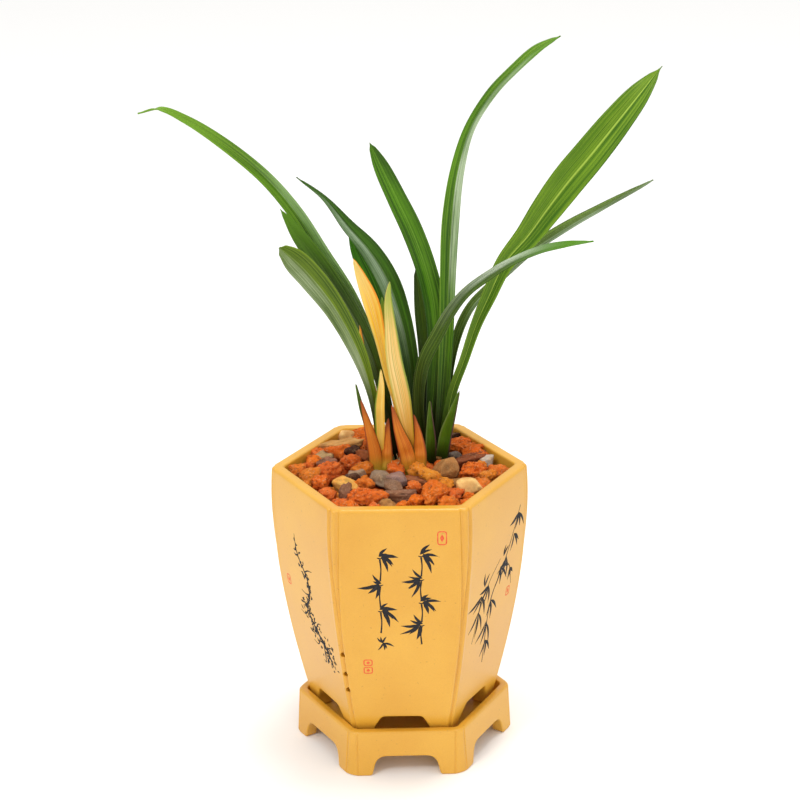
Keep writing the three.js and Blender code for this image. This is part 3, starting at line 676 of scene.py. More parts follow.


# ---- Blades ---------------------------------------------------------------------------------

# Each blade's spine is [x, y, height over the crown level, width] from base to tip, the same as the
# CAD blade's. `turn` is the angle of the line across it at base and tip, and `look` its material.
# In the leaves' looks the near-black `base` is painted shade at the crown, and the sheen a painted highlight.
LEAVES = [
    dict(turn=(190, 205), spine=[
        [-2, 29, 0, 5], [-8, 25, 31, 6], [-15, 20, 67, 8], [-27, 14, 102, 9], [-43, 8, 131, 10],
        [-57, 3, 157, 9], [-73, -2, 179, 8], [-95, -7, 200, 7], [-115, -11, 215, 5],
        [-129, -14, 222, 3], [-141, -16, 220, 1]],
        look=dict(gain=1.28, dark="#183a05", light="#447016", base="#16270a", tip="#6a9428",
                  painted_sheen=(0, "#8aa870", 0.5, 2.3), vein="#7c9c48")),
    dict(turn=(190, 205), spine=[
        [-1, 23, 0, 5], [-6, 19, 30, 6], [-12, 15, 56, 8], [-21, 10, 83, 10], [-32, 5, 106, 11],
        [-45, 0, 129, 11], [-56, -5, 147, 8], [-65, -9, 163, 1]],
        look=dict(gain=1.08, dark="#152e05", light="#345a0e", base="#101c06", tip="#4f7a14",
                  painted_sheen=(1, "#6d8262", 0.5, 1.5), vein="#5f8040")),
    dict(turn=(185, 205), spine=[
        [-11, 11, 0, 4], [-13, 6, 27, 4], [-16, 0, 50, 6], [-23, -8, 77, 10], [-35, -15, 105, 13],
        [-48, -21, 126, 15], [-58, -26, 139, 13], [-65, -28, 146, 5]],
        look=dict(gain=1.18, dark="#2a4607", light="#4e6c12", base="#22380c",
                  painted_sheen=(1, "#9dab86", -0.3, 1.9), vein="#6f8a3c")),
    dict(turn=(180, 215), spine=[
        [11, 28, 0, 6], [9, 30, 32, 9], [7, 33, 57, 11], [2, 37, 82, 13], [-5, 42, 103, 14],
        [-16, 47, 121, 13], [-29, 52, 135, 9], [-43, 57, 151, 4], [-59, 60, 163, 1]],
        look=dict(gain=1.05, dark="#123006", light="#2f600a", base="#0d1a05",
                  painted_sheen=(1, "#8fa284", 0.5, 1.9), vein="#5a8638")),
    dict(turn=(180, 190), spine=[
        [4, 32, 0, 5], [3, 35, 30, 9], [-1, 41, 54, 12], [-8, 49, 78, 14], [-16, 57, 100, 13],
        [-24, 64, 116, 8], [-29, 68, 128, 1]],
        look=dict(gain=1.05, dark="#184006", light="#2f6e08", base="#0a1404", vein="#4f8a20")),
    dict(turn=(180, 190), spine=[
        [18, 27, 0, 5], [21, 29, 38, 9], [23, 31, 70, 11], [22, 34, 91, 13], [17, 38, 113, 13],
        [9, 42, 135, 13], [1, 45, 152, 12], [-9, 48, 173, 9], [-15, 49, 186, 2]],
        look=dict(gain=1.06, dark="#1c4405", light="#437a0e", base="#0a1404", rib="#638f28", vein="#6a9a34")),
    dict(turn=(180, 180), spine=[
        [16, 32, 0, 4], [17, 35, 34, 7], [16, 39, 62, 8], [14, 43, 86, 8], [11, 46, 109, 2]],
        look=dict(gain=1.05, dark="#1f380a", light="#38560f", base="#0b1504")),
    dict(turn=(185, 130), spine=[
        [23, 23, 0, 5], [27, 25, 43, 8], [29, 27, 76, 9], [30, 30, 108, 10], [32, 33, 144, 11],
        [36, 35, 173, 9], [43, 36, 197, 7], [56, 36, 218, 7], [69, 35, 232, 7], [81, 33, 243, 7],
        [94, 30, 251, 2]],
        look=dict(gain=1.22, dark="#1c4406", light="#447416", base="#0f1e05",
                  painted_sheen=(0, "#c4d0b4", 0.9, 2.7), vein="#7ea050")),
    dict(turn=(170, 155), spine=[
        [25, 18, 0, 6], [32, 17, 41, 6], [39, 14, 63, 6], [46, 11, 86, 7], [53, 8, 104, 9],
        [62, 5, 125, 11], [75, 3, 142, 15], [85, 2, 157, 18], [97, 1, 174, 20], [109, 1, 189, 20],
        [124, 2, 208, 18], [137, 4, 224, 13], [149, 7, 238, 1]],
        look=dict(gain=1.03, dark="#2c5a08", light="#5c881a", rib="#a8c24c", base="#1e3a08", vein="#7c9e34")),
    dict(turn=(150, 130), spine=[
        [28, 27, 0, 5], [31, 30, 51, 6], [37, 35, 75, 7], [45, 40, 89, 7], [58, 46, 100, 8],
        [77, 53, 116, 10], [94, 59, 126, 10], [110, 64, 134, 9], [128, 70, 142, 7],
        [146, 75, 150, 4], [155, 78, 154, 1]],
        look=dict(gain=1.1, dark="#20380a", light="#44641c", base="#0f1c06",
                  painted_sheen=(0, "#8c9e80", 0.8, 2.6), vein="#728c50")),
    dict(turn=(160, 100), spine=[
        [15, 18, 0, 6], [12, 15, 38, 8], [15, 11, 62, 9], [23, 6, 81, 9], [31, 0, 98, 8],
        [40, -7, 112, 7], [52, -15, 124, 7], [65, -24, 135, 7], [80, -32, 144, 8],
        [93, -39, 149, 8], [108, -46, 153, 1]],
        look=dict(gain=1.08, dark="#1a3608", light="#3d5e16", base="#14260a",
                  painted_sheen=(1, "#c4d0b8", 0.9, 2.1), vein="#6c8c48", tip="#4f8216")),
]

SHOOT_LOOKS = [
    dict(dark="#f3a40e", light="#fcd448", edges=("#f6cf6c", "#f08c14"), base="#c97a1e", tip="#f4d078",
         stripe="#f5d27e", base_reach=0.5),
    dict(dark="#e9b254", light="#f4d793", edges=("#c8b85a", "#7e9430"), base="#dc9a26", tip="#9fae4a",
         stripe="#b5a446", base_reach=0.6),
    dict(dark="#e08c1a", light="#f3b93c", edges=("#6f9428", "#8a9a30"), base="#b0701a", tip="#5f8a20"),
    dict(dark="#ea8f1c", light="#f6c050", edges=("#f3c560", "#c0601a"), base="#a86018", tip="#f0a030"),
    dict(dark="#e6b23c", light="#f2d478", edges=("#5c8a1c", "#e9b84a"), base="#d9a22c", tip="#f2d080",
         base_reach=0.3),
]

SHOOTS = [
    [[3, 8, 0, 3], [-1, 6, 39, 5], [-6, 6, 58, 5], [-10, 7, 79, 7], [-15, 8, 101, 10],
     [-21, 10, 117, 6], [-25, 11, 127, 1]],
    [[8, 2, 4, 3], [5, 0, 28, 8], [2, -3, 48, 11], [-2, -5, 70, 10], [-4, -6, 92, 7],
     [-5, -6, 109, 4], [-4, -5, 118, 1]],
    [[4, 14, 0, 3], [-2, 13, 45, 4], [-5, 14, 70, 4], [-8, 15, 87, 4], [-9, 16, 102, 1]],
    [[-7, 13, 0, 3], [-11, 9, 31, 3], [-15, 8, 50, 3], [-19, 7, 65, 3], [-22, 6, 88, 1]],
    [[-11, 1, 4, 3], [-11, 0, 25, 6], [-11, -2, 41, 6], [-10, -3, 54, 4], [-10, -3, 64, 1]],
]

ORANGE_SHEATH = dict(dark="#c4601a", light="#e08a2e", edges=("#7c2c1c", "#8a3422"), base="#a89a2e",
                     tip="#a8502a", stripe="#9a4018", stripe_amount=0.35, roughness=0.42,
                     base_reach=0.22, veins=60)
# The green sheaths' dark base is painted shade at the foot of the growth.
GREEN_SHEATH = dict(dark="#33500a", light="#587a14", edges=("#6f8440", "#5f3440"), base="#1c2c08",
                    roughness=0.36, base_reach=0.25)
SHEATHS = [
    dict(look=ORANGE_SHEATH, turn=(15, 35), spine=[
        [-12.4, -1.5, -3, 9.5], [-14.4, -2, 13, 9], [-18, -2.5, 29, 5.5], [-22, -3, 45, 1]]),
    dict(look=ORANGE_SHEATH, turn=(-20, -30), spine=[
        [-8.4, -1, -3, 9], [-7.6, 0, 10, 8.5], [-7.2, 1.5, 21, 5.5], [-6, 3, 31, 1]]),
    dict(look=dict(ORANGE_SHEATH, edges=("#2f4a10", "#8a2c18")), turn=(15, 25), spine=[
        [7.4, -4, -3, 11], [4.8, -4.5, 12, 11], [0, -4.5, 27, 6.5], [-4, -4, 42, 1]]),
    dict(look=ORANGE_SHEATH, turn=(-15, -30), spine=[
        [10.8, -3, -3, 10], [12, -2.5, 10, 9.5], [11.4, -1, 22, 5.5], [9, 1, 34, 1]]),
    dict(look=GREEN_SHEATH, turn=(180, 180), spine=[
        [19, 11, -1, 7], [19, 11, 13, 7], [18.6, 11.5, 26, 4], [18.6, 12.5, 38, 1]]),
    dict(look=GREEN_SHEATH, turn=(165, 165), spine=[
        [25.4, 12.5, -1, 9], [28, 12, 16, 8.5], [32, 11, 31, 5], [36, 10, 45, 1]]),
    dict(look=dict(GREEN_SHEATH, light="#5f7c30"), turn=(200, 200), spine=[
        [-17, 8, 0, 3], [-19, 7, 23, 3], [-22, 6, 37, 3], [-25, 6, 52, 1]]),
]

ACROSS = 20  # steps across a blade


def smooth_curve(points, shares):
    """A centripetal Catmull-Rom curve through the points, at shares from 0 to 1 of its steps, and
    its direction there. Columns past the third, such as the width, follow along."""
    points = np.array(points, float)
    points = np.vstack([2 * points[0] - points[1], points, 2 * points[-1] - points[-2]])
    place = np.asarray(shares) * (len(points) - 3)
    first = np.clip(np.floor(place).astype(int), 0, len(points) - 4)
    t = (place - first)[:, None]
    p = [points[first + i] for i in range(4)]
    gap = [np.sqrt(np.linalg.norm((b - a)[:, :3], axis=1))[:, None] for a, b in zip(p, p[1:])]
    m1 = (p[1] - p[0]) / gap[0] - (p[2] - p[0]) / (gap[0] + gap[1]) + (p[2] - p[1]) / gap[1]
    m2 = (p[2] - p[1]) / gap[1] - (p[3] - p[1]) / (gap[1] + gap[2]) + (p[3] - p[2]) / gap[2]
    m1, m2 = m1 * gap[1], m2 * gap[1]
    a, b = 2 * (p[1] - p[2]) + m1 + m2, 3 * (p[2] - p[1]) - 2 * m1 - m2
    at = ((a * t + b) * t + m1) * t + p[1]
    along = (3 * a * t + 2 * b) * t + m1
    return at, along[:, :3] / np.linalg.norm(along[:, :3], axis=1, keepdims=True)


def blade_mesh(spine, turn, curl, thickness, seed, sink=6.0, fold=0.6, wave=1.0):
    """Points, faces and strap coordinates of a blade that starts a little under the gravel.
    `fold` shares its section between a round channel (0) and a V (1)."""
    spine = [list(p) for p in spine]
    stations = 26 + 8 * len(spine)
    shares = 1 - (1 - np.linspace(0, 1, stations)) ** 1.15
    at, along = smooth_curve(spine, shares)
    centre, width = at[:, :3] + [0, 0, CROWN_LEVEL], np.clip(at[:, 3], 0.7, None)
    width = width * (1 - 0.75 * smoothstep(0.965, 1, shares))
    rooted = centre[0] - along[0] * sink
    centre, along = np.vstack([rooted, centre]), np.vstack([along[:1], along])
    width, shares = np.append(width[0], width), np.append(0, shares)
    angle = np.radians(turn[0] + (turn[1] - turn[0]) * shares)
    across = np.stack([np.cos(angle), np.sin(angle), 0 * angle], 1)
    across -= along * (across * along).sum(1, keepdims=True)
    across /= np.linalg.norm(across, axis=1, keepdims=True)
    up = np.cross(along, across)
    roll = np.radians(curl[0] + (curl[1] - curl[0]) * shares)
    radius = width / roll
    lift = radius * (1 - np.cos(roll / 2)) / 2
    roll = roll * (1 + 0.2 * wave * noise(np.stack([shares * 9, 0 * shares + seed, 0 * shares], 1)))
    length = np.concatenate([[0], np.cumsum(np.linalg.norm(np.diff(centre, axis=0), axis=1))])
    u = np.linspace(-1, 1, ACROSS + 1)
    slope = roll[:, None] / 2 * ((1 - fold) * u + fold * np.tanh(u / 0.1))[None]
    middle = ACROSS // 2

    def summed(steps):
        total = np.cumsum((steps[:, 1:] + steps[:, :-1]) / 2, axis=1)
        total = np.concatenate([np.zeros((len(steps), 1)), total], axis=1)
        return total - total[:, middle:middle + 1]

    run, climb = summed(np.cos(slope)), summed(np.sin(slope))
    half_chord = (radius * np.sin(width / radius / 2))[:, None]
    scale = half_chord / run[:, -1:]
    run, climb = run * scale, (climb - (climb[:, :1] + climb[:, -1:]) / 2) * scale
    edge_height = (radius * (1 - np.cos(width / radius / 2)) - lift)[:, None]
    rows, coordinates = [], []
    for side in (-1, 1):
        half = side * (thickness * (1 - u * u) + 0.3 * u * u) / 2
        spots = np.stack(np.broadcast_arrays(shares[:, None] * 16, u[None] * 1.2 + seed, 0.5), -1)
        ripple = noise(spots.reshape(-1, 3)).reshape(len(shares), -1) * 0.2 * wave * u[None] ** 2
        out = run - half[None] * np.sin(slope)
        rise = climb + edge_height + half[None] * np.cos(slope) + ripple
        rows.append(centre[:, None] + out[..., None] * across[:, None] + rise[..., None] * up[:, None])
        coordinates.append(np.stack(np.broadcast_arrays((u[None] + 1) / 2, length[:, None] / 100), -1))
    rings = np.concatenate([rows[0], rows[1][:, ::-1]], axis=1)
    uvs = np.concatenate([coordinates[0], coordinates[1][:, ::-1]], axis=1)
    count, columns = rings.shape[:2]
    faces = [tuple(map(int, f)) for f in grid_faces(count, columns)]
    for ring, flip in ((0, True), (count - 1, False)):
        for i in range(columns // 2 - 1):
            a, b, c, d = (ring * columns + k for k in (i, i + 1, columns - 2 - i, columns - 1 - i))
            faces.append((d, c, b, a) if flip else (a, b, c, d))
    return rings.reshape(-1, 3), faces, uvs.reshape(-1, 2), length[-1] / 100


def add_blade(name, spine, turn, curl, thickness, look, slot, seed, **shape):
    points, faces, uvs, length = blade_mesh(spine, turn, curl, thickness, seed, **shape)
    material = blade_material(f"{name}_skin", seed=seed * 1.7, length=length, **look)
    return add_piece(f"{name}_blade", points, faces, material, slot, [name], uvs=uvs)


for number, leaf in enumerate(LEAVES, 1):
    add_blade(f"leaf_{number}", leaf["spine"], leaf["turn"], (90, 30), 1.0, leaf["look"], "leaf", number)
for number, (spine, look) in enumerate(zip(SHOOTS, SHOOT_LOOKS), 1):
    add_blade(f"shoot_{number}", spine, (180, 180), (110, 60), 0.9, look, "shoot", 20 + number,
              fold=0.25)
for number, sheath in enumerate(SHEATHS, 1):
    add_blade(f"sheath_{number}", sheath["spine"], sheath["turn"], (120, 60), 0.7, sheath["look"],
              "sheath", 40 + number, fold=0.1)


# ---- Gravel ---------------------------------------------------------------------------------

BED = dict(below_rim=6.5, mound=3, ripple=1.2)
BED_INSIDE = float(pot_apothem(POT_RIM - BED["below_rim"])) - POT["wall"]


def bed_height(x, y):
    middle = np.clip(1 - (x * x + y * y) / BED_INSIDE ** 2, 0, 1)
    ripple = np.sin(x / 5.3 + 1) * np.cos(y / 4.7) + 0.6 * np.sin((x + y) / 3.9)
    return POT_RIM - BED["below_rim"] + BED["mound"] * middle + BED["ripple"] * ripple


def unit_ball(divisions):
    """An icosahedron divided a number of times, as points on the unit ball and faces."""
    mesh = bpy.data.meshes.new("ball")
    work = bmesh.new()
    bmesh.ops.create_icosphere(work, subdivisions=divisions, radius=1)
    work.to_mesh(mesh)
    work.free()
    points = np.array([v.co for v in mesh.vertices])
    faces = np.array([list(f.vertices) for f in mesh.polygons])
    bpy.data.meshes.remove(mesh)
    return points, faces


BALLS = {divisions: unit_ball(divisions) for divisions in (3, 4, 5)}

# How a kind of grain breaks: planes that cut it, how sharp its edges are, lumps of four sizes, and
# pits as (how many, how wide, how deep). `gain` is the most that its colour is brightened.
KINDS = {
    "lava": dict(gain=1.4, planes=11, sharp=9, lumps=(0.13, 0.12, 0.1, 0.07), pits=(44, 0.12, 0.1),
                 material=lava),
    "stone": dict(gain=1.1, planes=12, sharp=16, lumps=(0.06, 0.03, 0.02, 0.01), pits=(3, 0.3, 0.03),
                  material=pebble),
    "bark": dict(gain=0.95, planes=9, sharp=20, lumps=(0.06, 0.06, 0.06, 0.03), pits=(6, 0.2, 0.06),
                 material=bark),
}

# How much the gravel's light warms a colour, and lava's green and blue as shares of its red.
GRAIN_WARMTH = (1.5, 1.28, 1.0)
LAVA_GREEN, LAVA_BLUE = (0.21, 0.35), 0.038


def grain_shape(kind, size, turn, tilt, colour, seed, divisions):
    """Points, faces and tints of one grain about its own middle."""
    rng = np.random.default_rng(seed)
    k = KINDS[kind]
    directions, faces = BALLS[divisions]
    planes = rng.normal(size=(k["planes"] + 6, 3))
    planes[:6] = [[1, 0, 0], [-1, 0, 0], [0, 1, 0], [0, -1, 0], [0, 0, 1], [0, 0, -1]]
    planes[:6] += rng.normal(scale=0.25, size=(6, 3))
    planes /= np.linalg.norm(planes, axis=1, keepdims=True)
    distances = rng.uniform(0.8, 1.0, len(planes))
    reach = np.clip(directions @ planes.T, 0, None) / distances
    radius = (reach ** k["sharp"]).sum(1) ** (-1 / k["sharp"])
    shift = rng.uniform(0, 20, 3)
    stretch = np.array([0.35, 1.6, 1.6]) if kind == "bark" else np.ones(3)
    for lump, frequency in zip(k["lumps"], (2.1, 4.5, 9.0, 17.0)):
        radius = radius * (1 + lump * noise(directions * stretch * frequency + shift))
    hollows = np.zeros(len(directions))
    count, wide, deep = k["pits"]
    for middle in rng.normal(size=(count, 3)):
        middle /= np.linalg.norm(middle)
        apart = np.arccos(np.clip(directions @ middle, -1, 1))
        spread = wide * rng.uniform(0.5, 1.3)
        hollows = np.maximum(hollows, rng.uniform(0.5, 1.2) * np.exp(-(apart / spread) ** 4))
    radius = radius * (1 - deep * hollows)
    points = directions * radius[:, None] * np.array(size) / 2
    c, s = math.cos(tilt), math.sin(tilt)
    points = points @ np.array([[1, 0, 0], [0, c, s], [0, -s, c]])
    points = points @ turned(turn)
    mottle = 1 + 0.22 * noise(directions * 3.3 + shift)
    full = np.array(linear(colour)) * GRAIN_WARMTH
    if kind == "lava":
        full[1] = np.clip(full[1], LAVA_GREEN[0] * full[0], LAVA_GREEN[1] * full[0])
        full[2] = min(full[2], LAVA_BLUE * full[0])
    full *= min(k["gain"], 0.98 / full.max())
    # The tint is darkened in the pits: painted shade in the hollows.
    return points, faces, np.clip(full * (mottle * (1 - 0.5 * hollows))[:, None], 0, 1)


# The grains that stand as CAD pieces: kind, colour, size and turn.
SINGLE_GRAINS = {
    "pebble_cream": ("stone", "#dcc48e", (15, 12.5, 13), 20),
    "pebble_tan": ("stone", "#bf9c58", (17.5, 12, 10.5), -20),
    "pebble_tan_large": ("stone", "#8f6f4a", (15, 13, 15), 40),
    "pebble_grey_1": ("stone", "#8d8178", (12.5, 10.5, 9), 10),
    "pebble_grey_2": ("stone", "#766c64", (13.5, 14, 11), 60),
    "pebble_grey_3": ("stone", "#93866c", (15, 12, 9.5), 0),
    "pebble_grey_4": ("stone", "#a3a5ab", (11, 8.5, 8), 15),
    "lava_red_1": ("lava", "#a8401f", (20, 13.5, 12.5), -20),
    "lava_red_2": ("lava", "#c4532a", (18, 14, 13), 15),
    "lava_red_3": ("lava", "#b2451f", (17, 13, 12), 0),
    "lava_red_4": ("lava", "#b85232", (20, 15, 13), 50),
    "lava_orange_1": ("lava", "#d86a2c", (18, 13.5, 13.5), 10),
    "lava_orange_2": ("lava", "#dd7c30", (18, 14, 13), 30),
    "bark_large": ("bark", "#6b3f2c", (22, 9, 10), 35),
    "bark_long": ("bark", "#7a503a", (23, 8, 7), -15),
    "bark_flat": ("bark", "#6e5348", (23, 11.5, 7.5), -5),
    "bark_tan": ("bark", "#a9885a", (21, 12, 9.5), 25),
    "bark_dark": ("bark", "#4a3129", (18, 9, 8), 30),
}

# More grains that are told apart on the surface: kind, colour, x, y, length, width, turn.
PLACED_GRAINS = [
    ("lava", "#c9622f", -52, 30, 12, 11, 0), ("lava", "#d97f35", -60, 1, 12, 11, 30),
    ("lava", "#de8a3a", -53, -9, 13, 11, 10), ("lava", "#d8702e", -46, -20, 12, 11, 60),
    ("lava", "#c96a45", -42, -33, 13, 11, 20), ("lava", "#b5543a", -35, -45, 12, 10, 0),
    ("stone", "#7a5a50", -43, 8, 13, 11, -30), ("lava", "#d8702c", -37, 24, 15, 13, 20),
    ("lava", "#c45a30", -29, 9, 14, 12, 0), ("lava", "#dd8636", -20, -3, 14, 12, 45),
    ("stone", "#4c3a34", -28, -13, 13, 8, 20), ("lava", "#de8034", -20, -25, 13, 11, -40),
    ("stone", "#cbb184", -33, 55, 16, 9, -30), ("bark", "#3f2a22", -28, 27, 15, 8, 70),
    ("bark", "#7a4a30", -20, 17, 15, 10, -60), ("lava", "#bb4b22", -24, 61, 15, 13, 0),
    ("lava", "#c2552a", -7, 48, 14, 12, 0), ("lava", "#cf5f2e", -2, -5, 13, 11, -20),
    ("lava", "#e0a53c", 11, -7, 13, 10, 20), ("stone", "#7a6a70", -2, -19, 16, 10, 10),
    ("lava", "#e09a44", 18, -17, 14, 11, 0), ("stone", "#6a5850", -3, -31, 12, 10, 0),
    ("lava", "#c4502a", -14, -45, 15, 12, 30), ("lava", "#d9773a", 9, -31, 10, 8, 0),
    ("lava", "#cf7a52", 22, -31, 13, 11, 0), ("lava", "#b04a2c", 31, -37, 13, 11, 70),
    ("lava", "#e07e30", 28, -50, 15, 11, 0), ("lava", "#cd6128", 42, -51, 12, 9, 20),
    ("lava", "#d9803a", 48, -24, 13, 11, 60), ("lava", "#b9603a", 51, -30, 11, 10, 0),
    ("lava", "#e09038", 52, -12, 13, 10, 20), ("lava", "#b96a44", 58, -4, 12, 11, 0),
    ("bark", "#8a6a44", 35, -19, 14, 8, 15), ("lava", "#e39a3a", 27, -24, 11, 9, 0),
    ("stone", "#4d4a4c", 33, 17, 11, 10, 40), ("lava", "#a8441f", 46, 20, 17, 13, -30),
    ("lava", "#b34c26", 38, 38, 15, 13, 20), ("bark", "#3c2a24", 34, 55, 17, 7, 25),
    ("lava", "#c65a2a", 25, 3, 10, 9, 0),
]
LAVA_TINTS = ["#e66a2a", "#ee822c", "#d85a22", "#f0923a", "#e0784a", "#c95424", "#ec742e", "#f29c44"]
STONE_TINTS = ["#8d8178", "#6a5850", "#a3937c", "#7a5a50"]
BARK_TINTS = ["#4a3129", "#6e5348", "#8a6a44"]
PULLED_IN = 0.93  # for a placed grain that would meet the pot's wall


def inside_pot(x, y, margin):
    angles = (np.arange(SIDES) + 0.5) * TURN
    return (x * np.cos(angles) + y * np.sin(angles)).max() < BED_INSIDE - margin


def make_gravel():
    rng = np.random.default_rng(3)
    taken = []
    for number, (name, (kind, colour, size, turn)) in enumerate(SINGLE_GRAINS.items()):
        low, high = box_mm(name)
        middle = (low + high) / 2 - AXIS
        taken.append((middle[0], middle[1], (size[0] + size[1]) / 4))
        points, faces, tints = grain_shape(kind, size, math.radians(turn), 0, colour, 100 + number, 5)
        add_piece(f"{name}_grain", points + middle, faces, KINDS[kind]["material"], kind, [name],
                  colours=tints)
    grains = []
    for kind, colour, x, y, length, width, turn in PLACED_GRAINS:
        if not inside_pot(x, y, 0.3 * width):
            x, y = x * PULLED_IN, y * PULLED_IN
        taken.append((x, y, (length + width) / 4))
        height = 0.85 * width
        middle = (x, y, bed_height(x, y) + 0.22 * height)
        grains.append((kind, colour, (length, width, height), math.radians(turn), middle, 4))
    bases = [blade["spine"][0][:2] for blade in LEAVES + SHEATHS] + [s[0][:2] for s in SHOOTS]
    for layer, sizes in ((0, np.linspace(7, 3.2, 900)), (1, np.linspace(7, 4, 500))):
        there = list(taken) if layer == 0 else []
        for radius in sizes:
            x, y = rng.uniform(-70, 70, 2)
            if not inside_pot(x, y, 0.62 * radius):
                continue
            if any(math.hypot(x - a, y - b) < 0.82 * (radius + r) for a, b, r in there):
                continue
            if layer == 0 and any(math.hypot(x - a, y - b) < radius * 0.5 + 2 for a, b in bases):
                continue
            if layer == 0 and math.hypot(x + 1, y - 9) < radius + 4:
                continue
            there.append((x, y, radius))
            kind = rng.choice(["lava", "stone", "bark"], p=[0.8, 0.12, 0.08])
            tints = {"lava": LAVA_TINTS, "stone": STONE_TINTS, "bark": BARK_TINTS}[kind]
            size = radius * 2 * rng.uniform([0.95, 0.8, 0.7], [1.2, 1.0, 0.95])
            drop = 0.2 * size[2] if layer == 0 else -7.0
            middle = (x, y, bed_height(x, y) + drop + rng.uniform(-1, 1))
            grains.append((kind, rng.choice(tints), size, rng.uniform(0, 6.3), middle, 4 - layer))
    heaps = {}
    for number, (kind, colour, size, turn, middle, divisions) in enumerate(grains):
        tilt = rng.uniform(-0.5, 0.5)
        points, faces, tints = grain_shape(kind, size, turn, tilt, colour, 500 + number, divisions)
        part = ("left" if middle[0] < 0 else "right") + ("_front" if middle[1] < 0 else "_back")
        name = kind if kind != "lava" else f"lava_{part}"
        heaps.setdefault((name, kind), []).append((points + np.array(middle), faces, tints))
    for (name, kind), heap in heaps.items():
        points, faces = joined([grain[:2] for grain in heap])
        add_piece(f"gravel_{name}", points, faces, KINDS[kind]["material"], kind,
                  colours=np.vstack([grain[2] for grain in heap]))


def make_deep_gravel():
    """What shows between the grains: a rough bed that fills the pot under them, near black as painted shade.
    """
    bottom = POT_FOOT + POT["notch_height"] + 0.5 + POT["floor"] + 0.5
    rows = []
    for z in np.linspace(bottom, POT_RIM - 15, 8):
        rows.append(wall_row(z, POT["wall"] + 0.6, pot_apothem, 2))
    rings = all_round(rows)
    edge = rings[-1]
    for share in np.linspace(1, 0.06, 26):
        ring = edge * [share, share, 1]
        ring[:, 2] = bed_height(ring[:, 0], ring[:, 1]) - 8 + 1.6 * noise(ring * [0.35, 0.35, 0])
        rings.append(ring)
    points = np.vstack(rings)
    points, faces = close_ends(points, grid_faces(len(rings), len(rings[0])), len(rings), len(rings[0]))
    return add_piece("deep_gravel_shade", points, faces, deep_gravel_shade, "lava", ["gravel_bed"])


def make_dry_fibres():
    """Dead root hairs in the gap between the growths."""
    rng = np.random.default_rng(8)
    tubes = []
    for _ in range(16):
        x, y, z = rng.uniform([-4, -4, -3], [3, 4, 1])
        spine = [(x, y, z)]
        for _ in range(4):
            x, y, z = np.array([x, y, z]) + rng.uniform([-2.2, -1.5, 0.3], [2.2, 1.0, 3.4])
            spine.append((x, y, z))
        at, _ = smooth_curve([[*p, 0] for p in spine], np.linspace(0, 1, 18))
        thick = np.linspace(0.4, 0.12, 18)
        ring = np.radians([0, 60, 120, 180, 240, 300])
        tube = at[:, None, :3] + thick[:, None, None] * np.stack([np.cos(ring), np.sin(ring), 0 * ring], 1)
        tube, tube_faces = close_ends(tube.reshape(-1, 3), grid_faces(18, 6), 18, 6)
        tubes.append((tube + [0, 0, CROWN_LEVEL], tube_faces))
    add_piece("dry_fibres", *joined(tubes), dry_fibre, "root")


make_gravel()
make_deep_gravel()
make_dry_fibres()

for name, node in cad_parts.items():
    if name.startswith(("root_", "pseudobulb_")):
        node.data.materials.clear()
        node.data.materials.append(root_skin if name.startswith("root_") else bulb_skin)


# ---- Painted sides --------------------------------------------------------------------------

class Painting:
    """Brush strokes laid on one side of the pot, as thin raised ribbons. Places on the side are
    (across from its middle, height over the pot's foot) in millimetres."""

    def __init__(self, side):
        self.angle = (side + 0.5) * TURN
        self.strokes = []

    def on_side(self, u, h, out):
        apothem = pot_apothem(POT_FOOT + h) + out
        c, s = math.cos(self.angle), math.sin(self.angle)
        return np.stack([apothem * c - u * s, apothem * s + u * c, POT_FOOT + h + 0 * u], -1)

    def stroke(self, places, widths, steps=14):
        """A stroke through the places; widths are given from start to end."""
        places = np.array([[u, h, 0, 0] for u, h in places], float)
        shares = np.linspace(0, 1, steps)
        at, along = smooth_curve(places, shares)
        width = np.interp(shares, np.linspace(0, 1, len(widths)), widths) / 2
        side = np.stack([-along[:, 1], along[:, 0]], 1) * width[:, None]
        left, right = at[:, :2] + side, at[:, :2] - side
        ring = [self.on_side(p[:, 0], p[:, 1], out)
                for p, out in ((left, 0.02), (at[:, :2], 0.1), (right, 0.02), (right, -0.3), (left, -0.3))]
        points = np.stack(ring, 1).reshape(-1, 3)
        count = len(ring)
        faces = [tuple(map(int, f)) for f in grid_faces(steps, count)]
        faces += [tuple(range(count))[::-1], tuple((steps - 1) * count + i for i in range(count))]
        self.strokes.append((points, faces))

    def leaf(self, u, h, heading, length, width):
        """One pointed brush leaf from its stalk."""
        a = math.radians(heading)
        end = (u + length * math.cos(a), h + length * math.sin(a))
        bend = (u + 0.5 * length * math.cos(a + 0.15), h + 0.5 * length * math.sin(a + 0.15))
        self.stroke([(u, h), bend, end], [0.25, width, width * 0.8, 0.1])

    def spray(self, u, h, heading, length, width, count, rng):
        """A fan of leaves from one point."""
        for i in range(count):
            fan = (i - (count - 1) / 2) * 34
            self.leaf(u, h, heading + fan + rng.uniform(-9, 9), length * rng.uniform(0.7, 1.1),
                      width * rng.uniform(0.8, 1.1))

    def add(self, name, material, slot="clay"):
        return add_piece(name, *joined(self.strokes), material, slot)


FRONT, RIGHT, LEFT, BACK = 4, 5, 3, 1


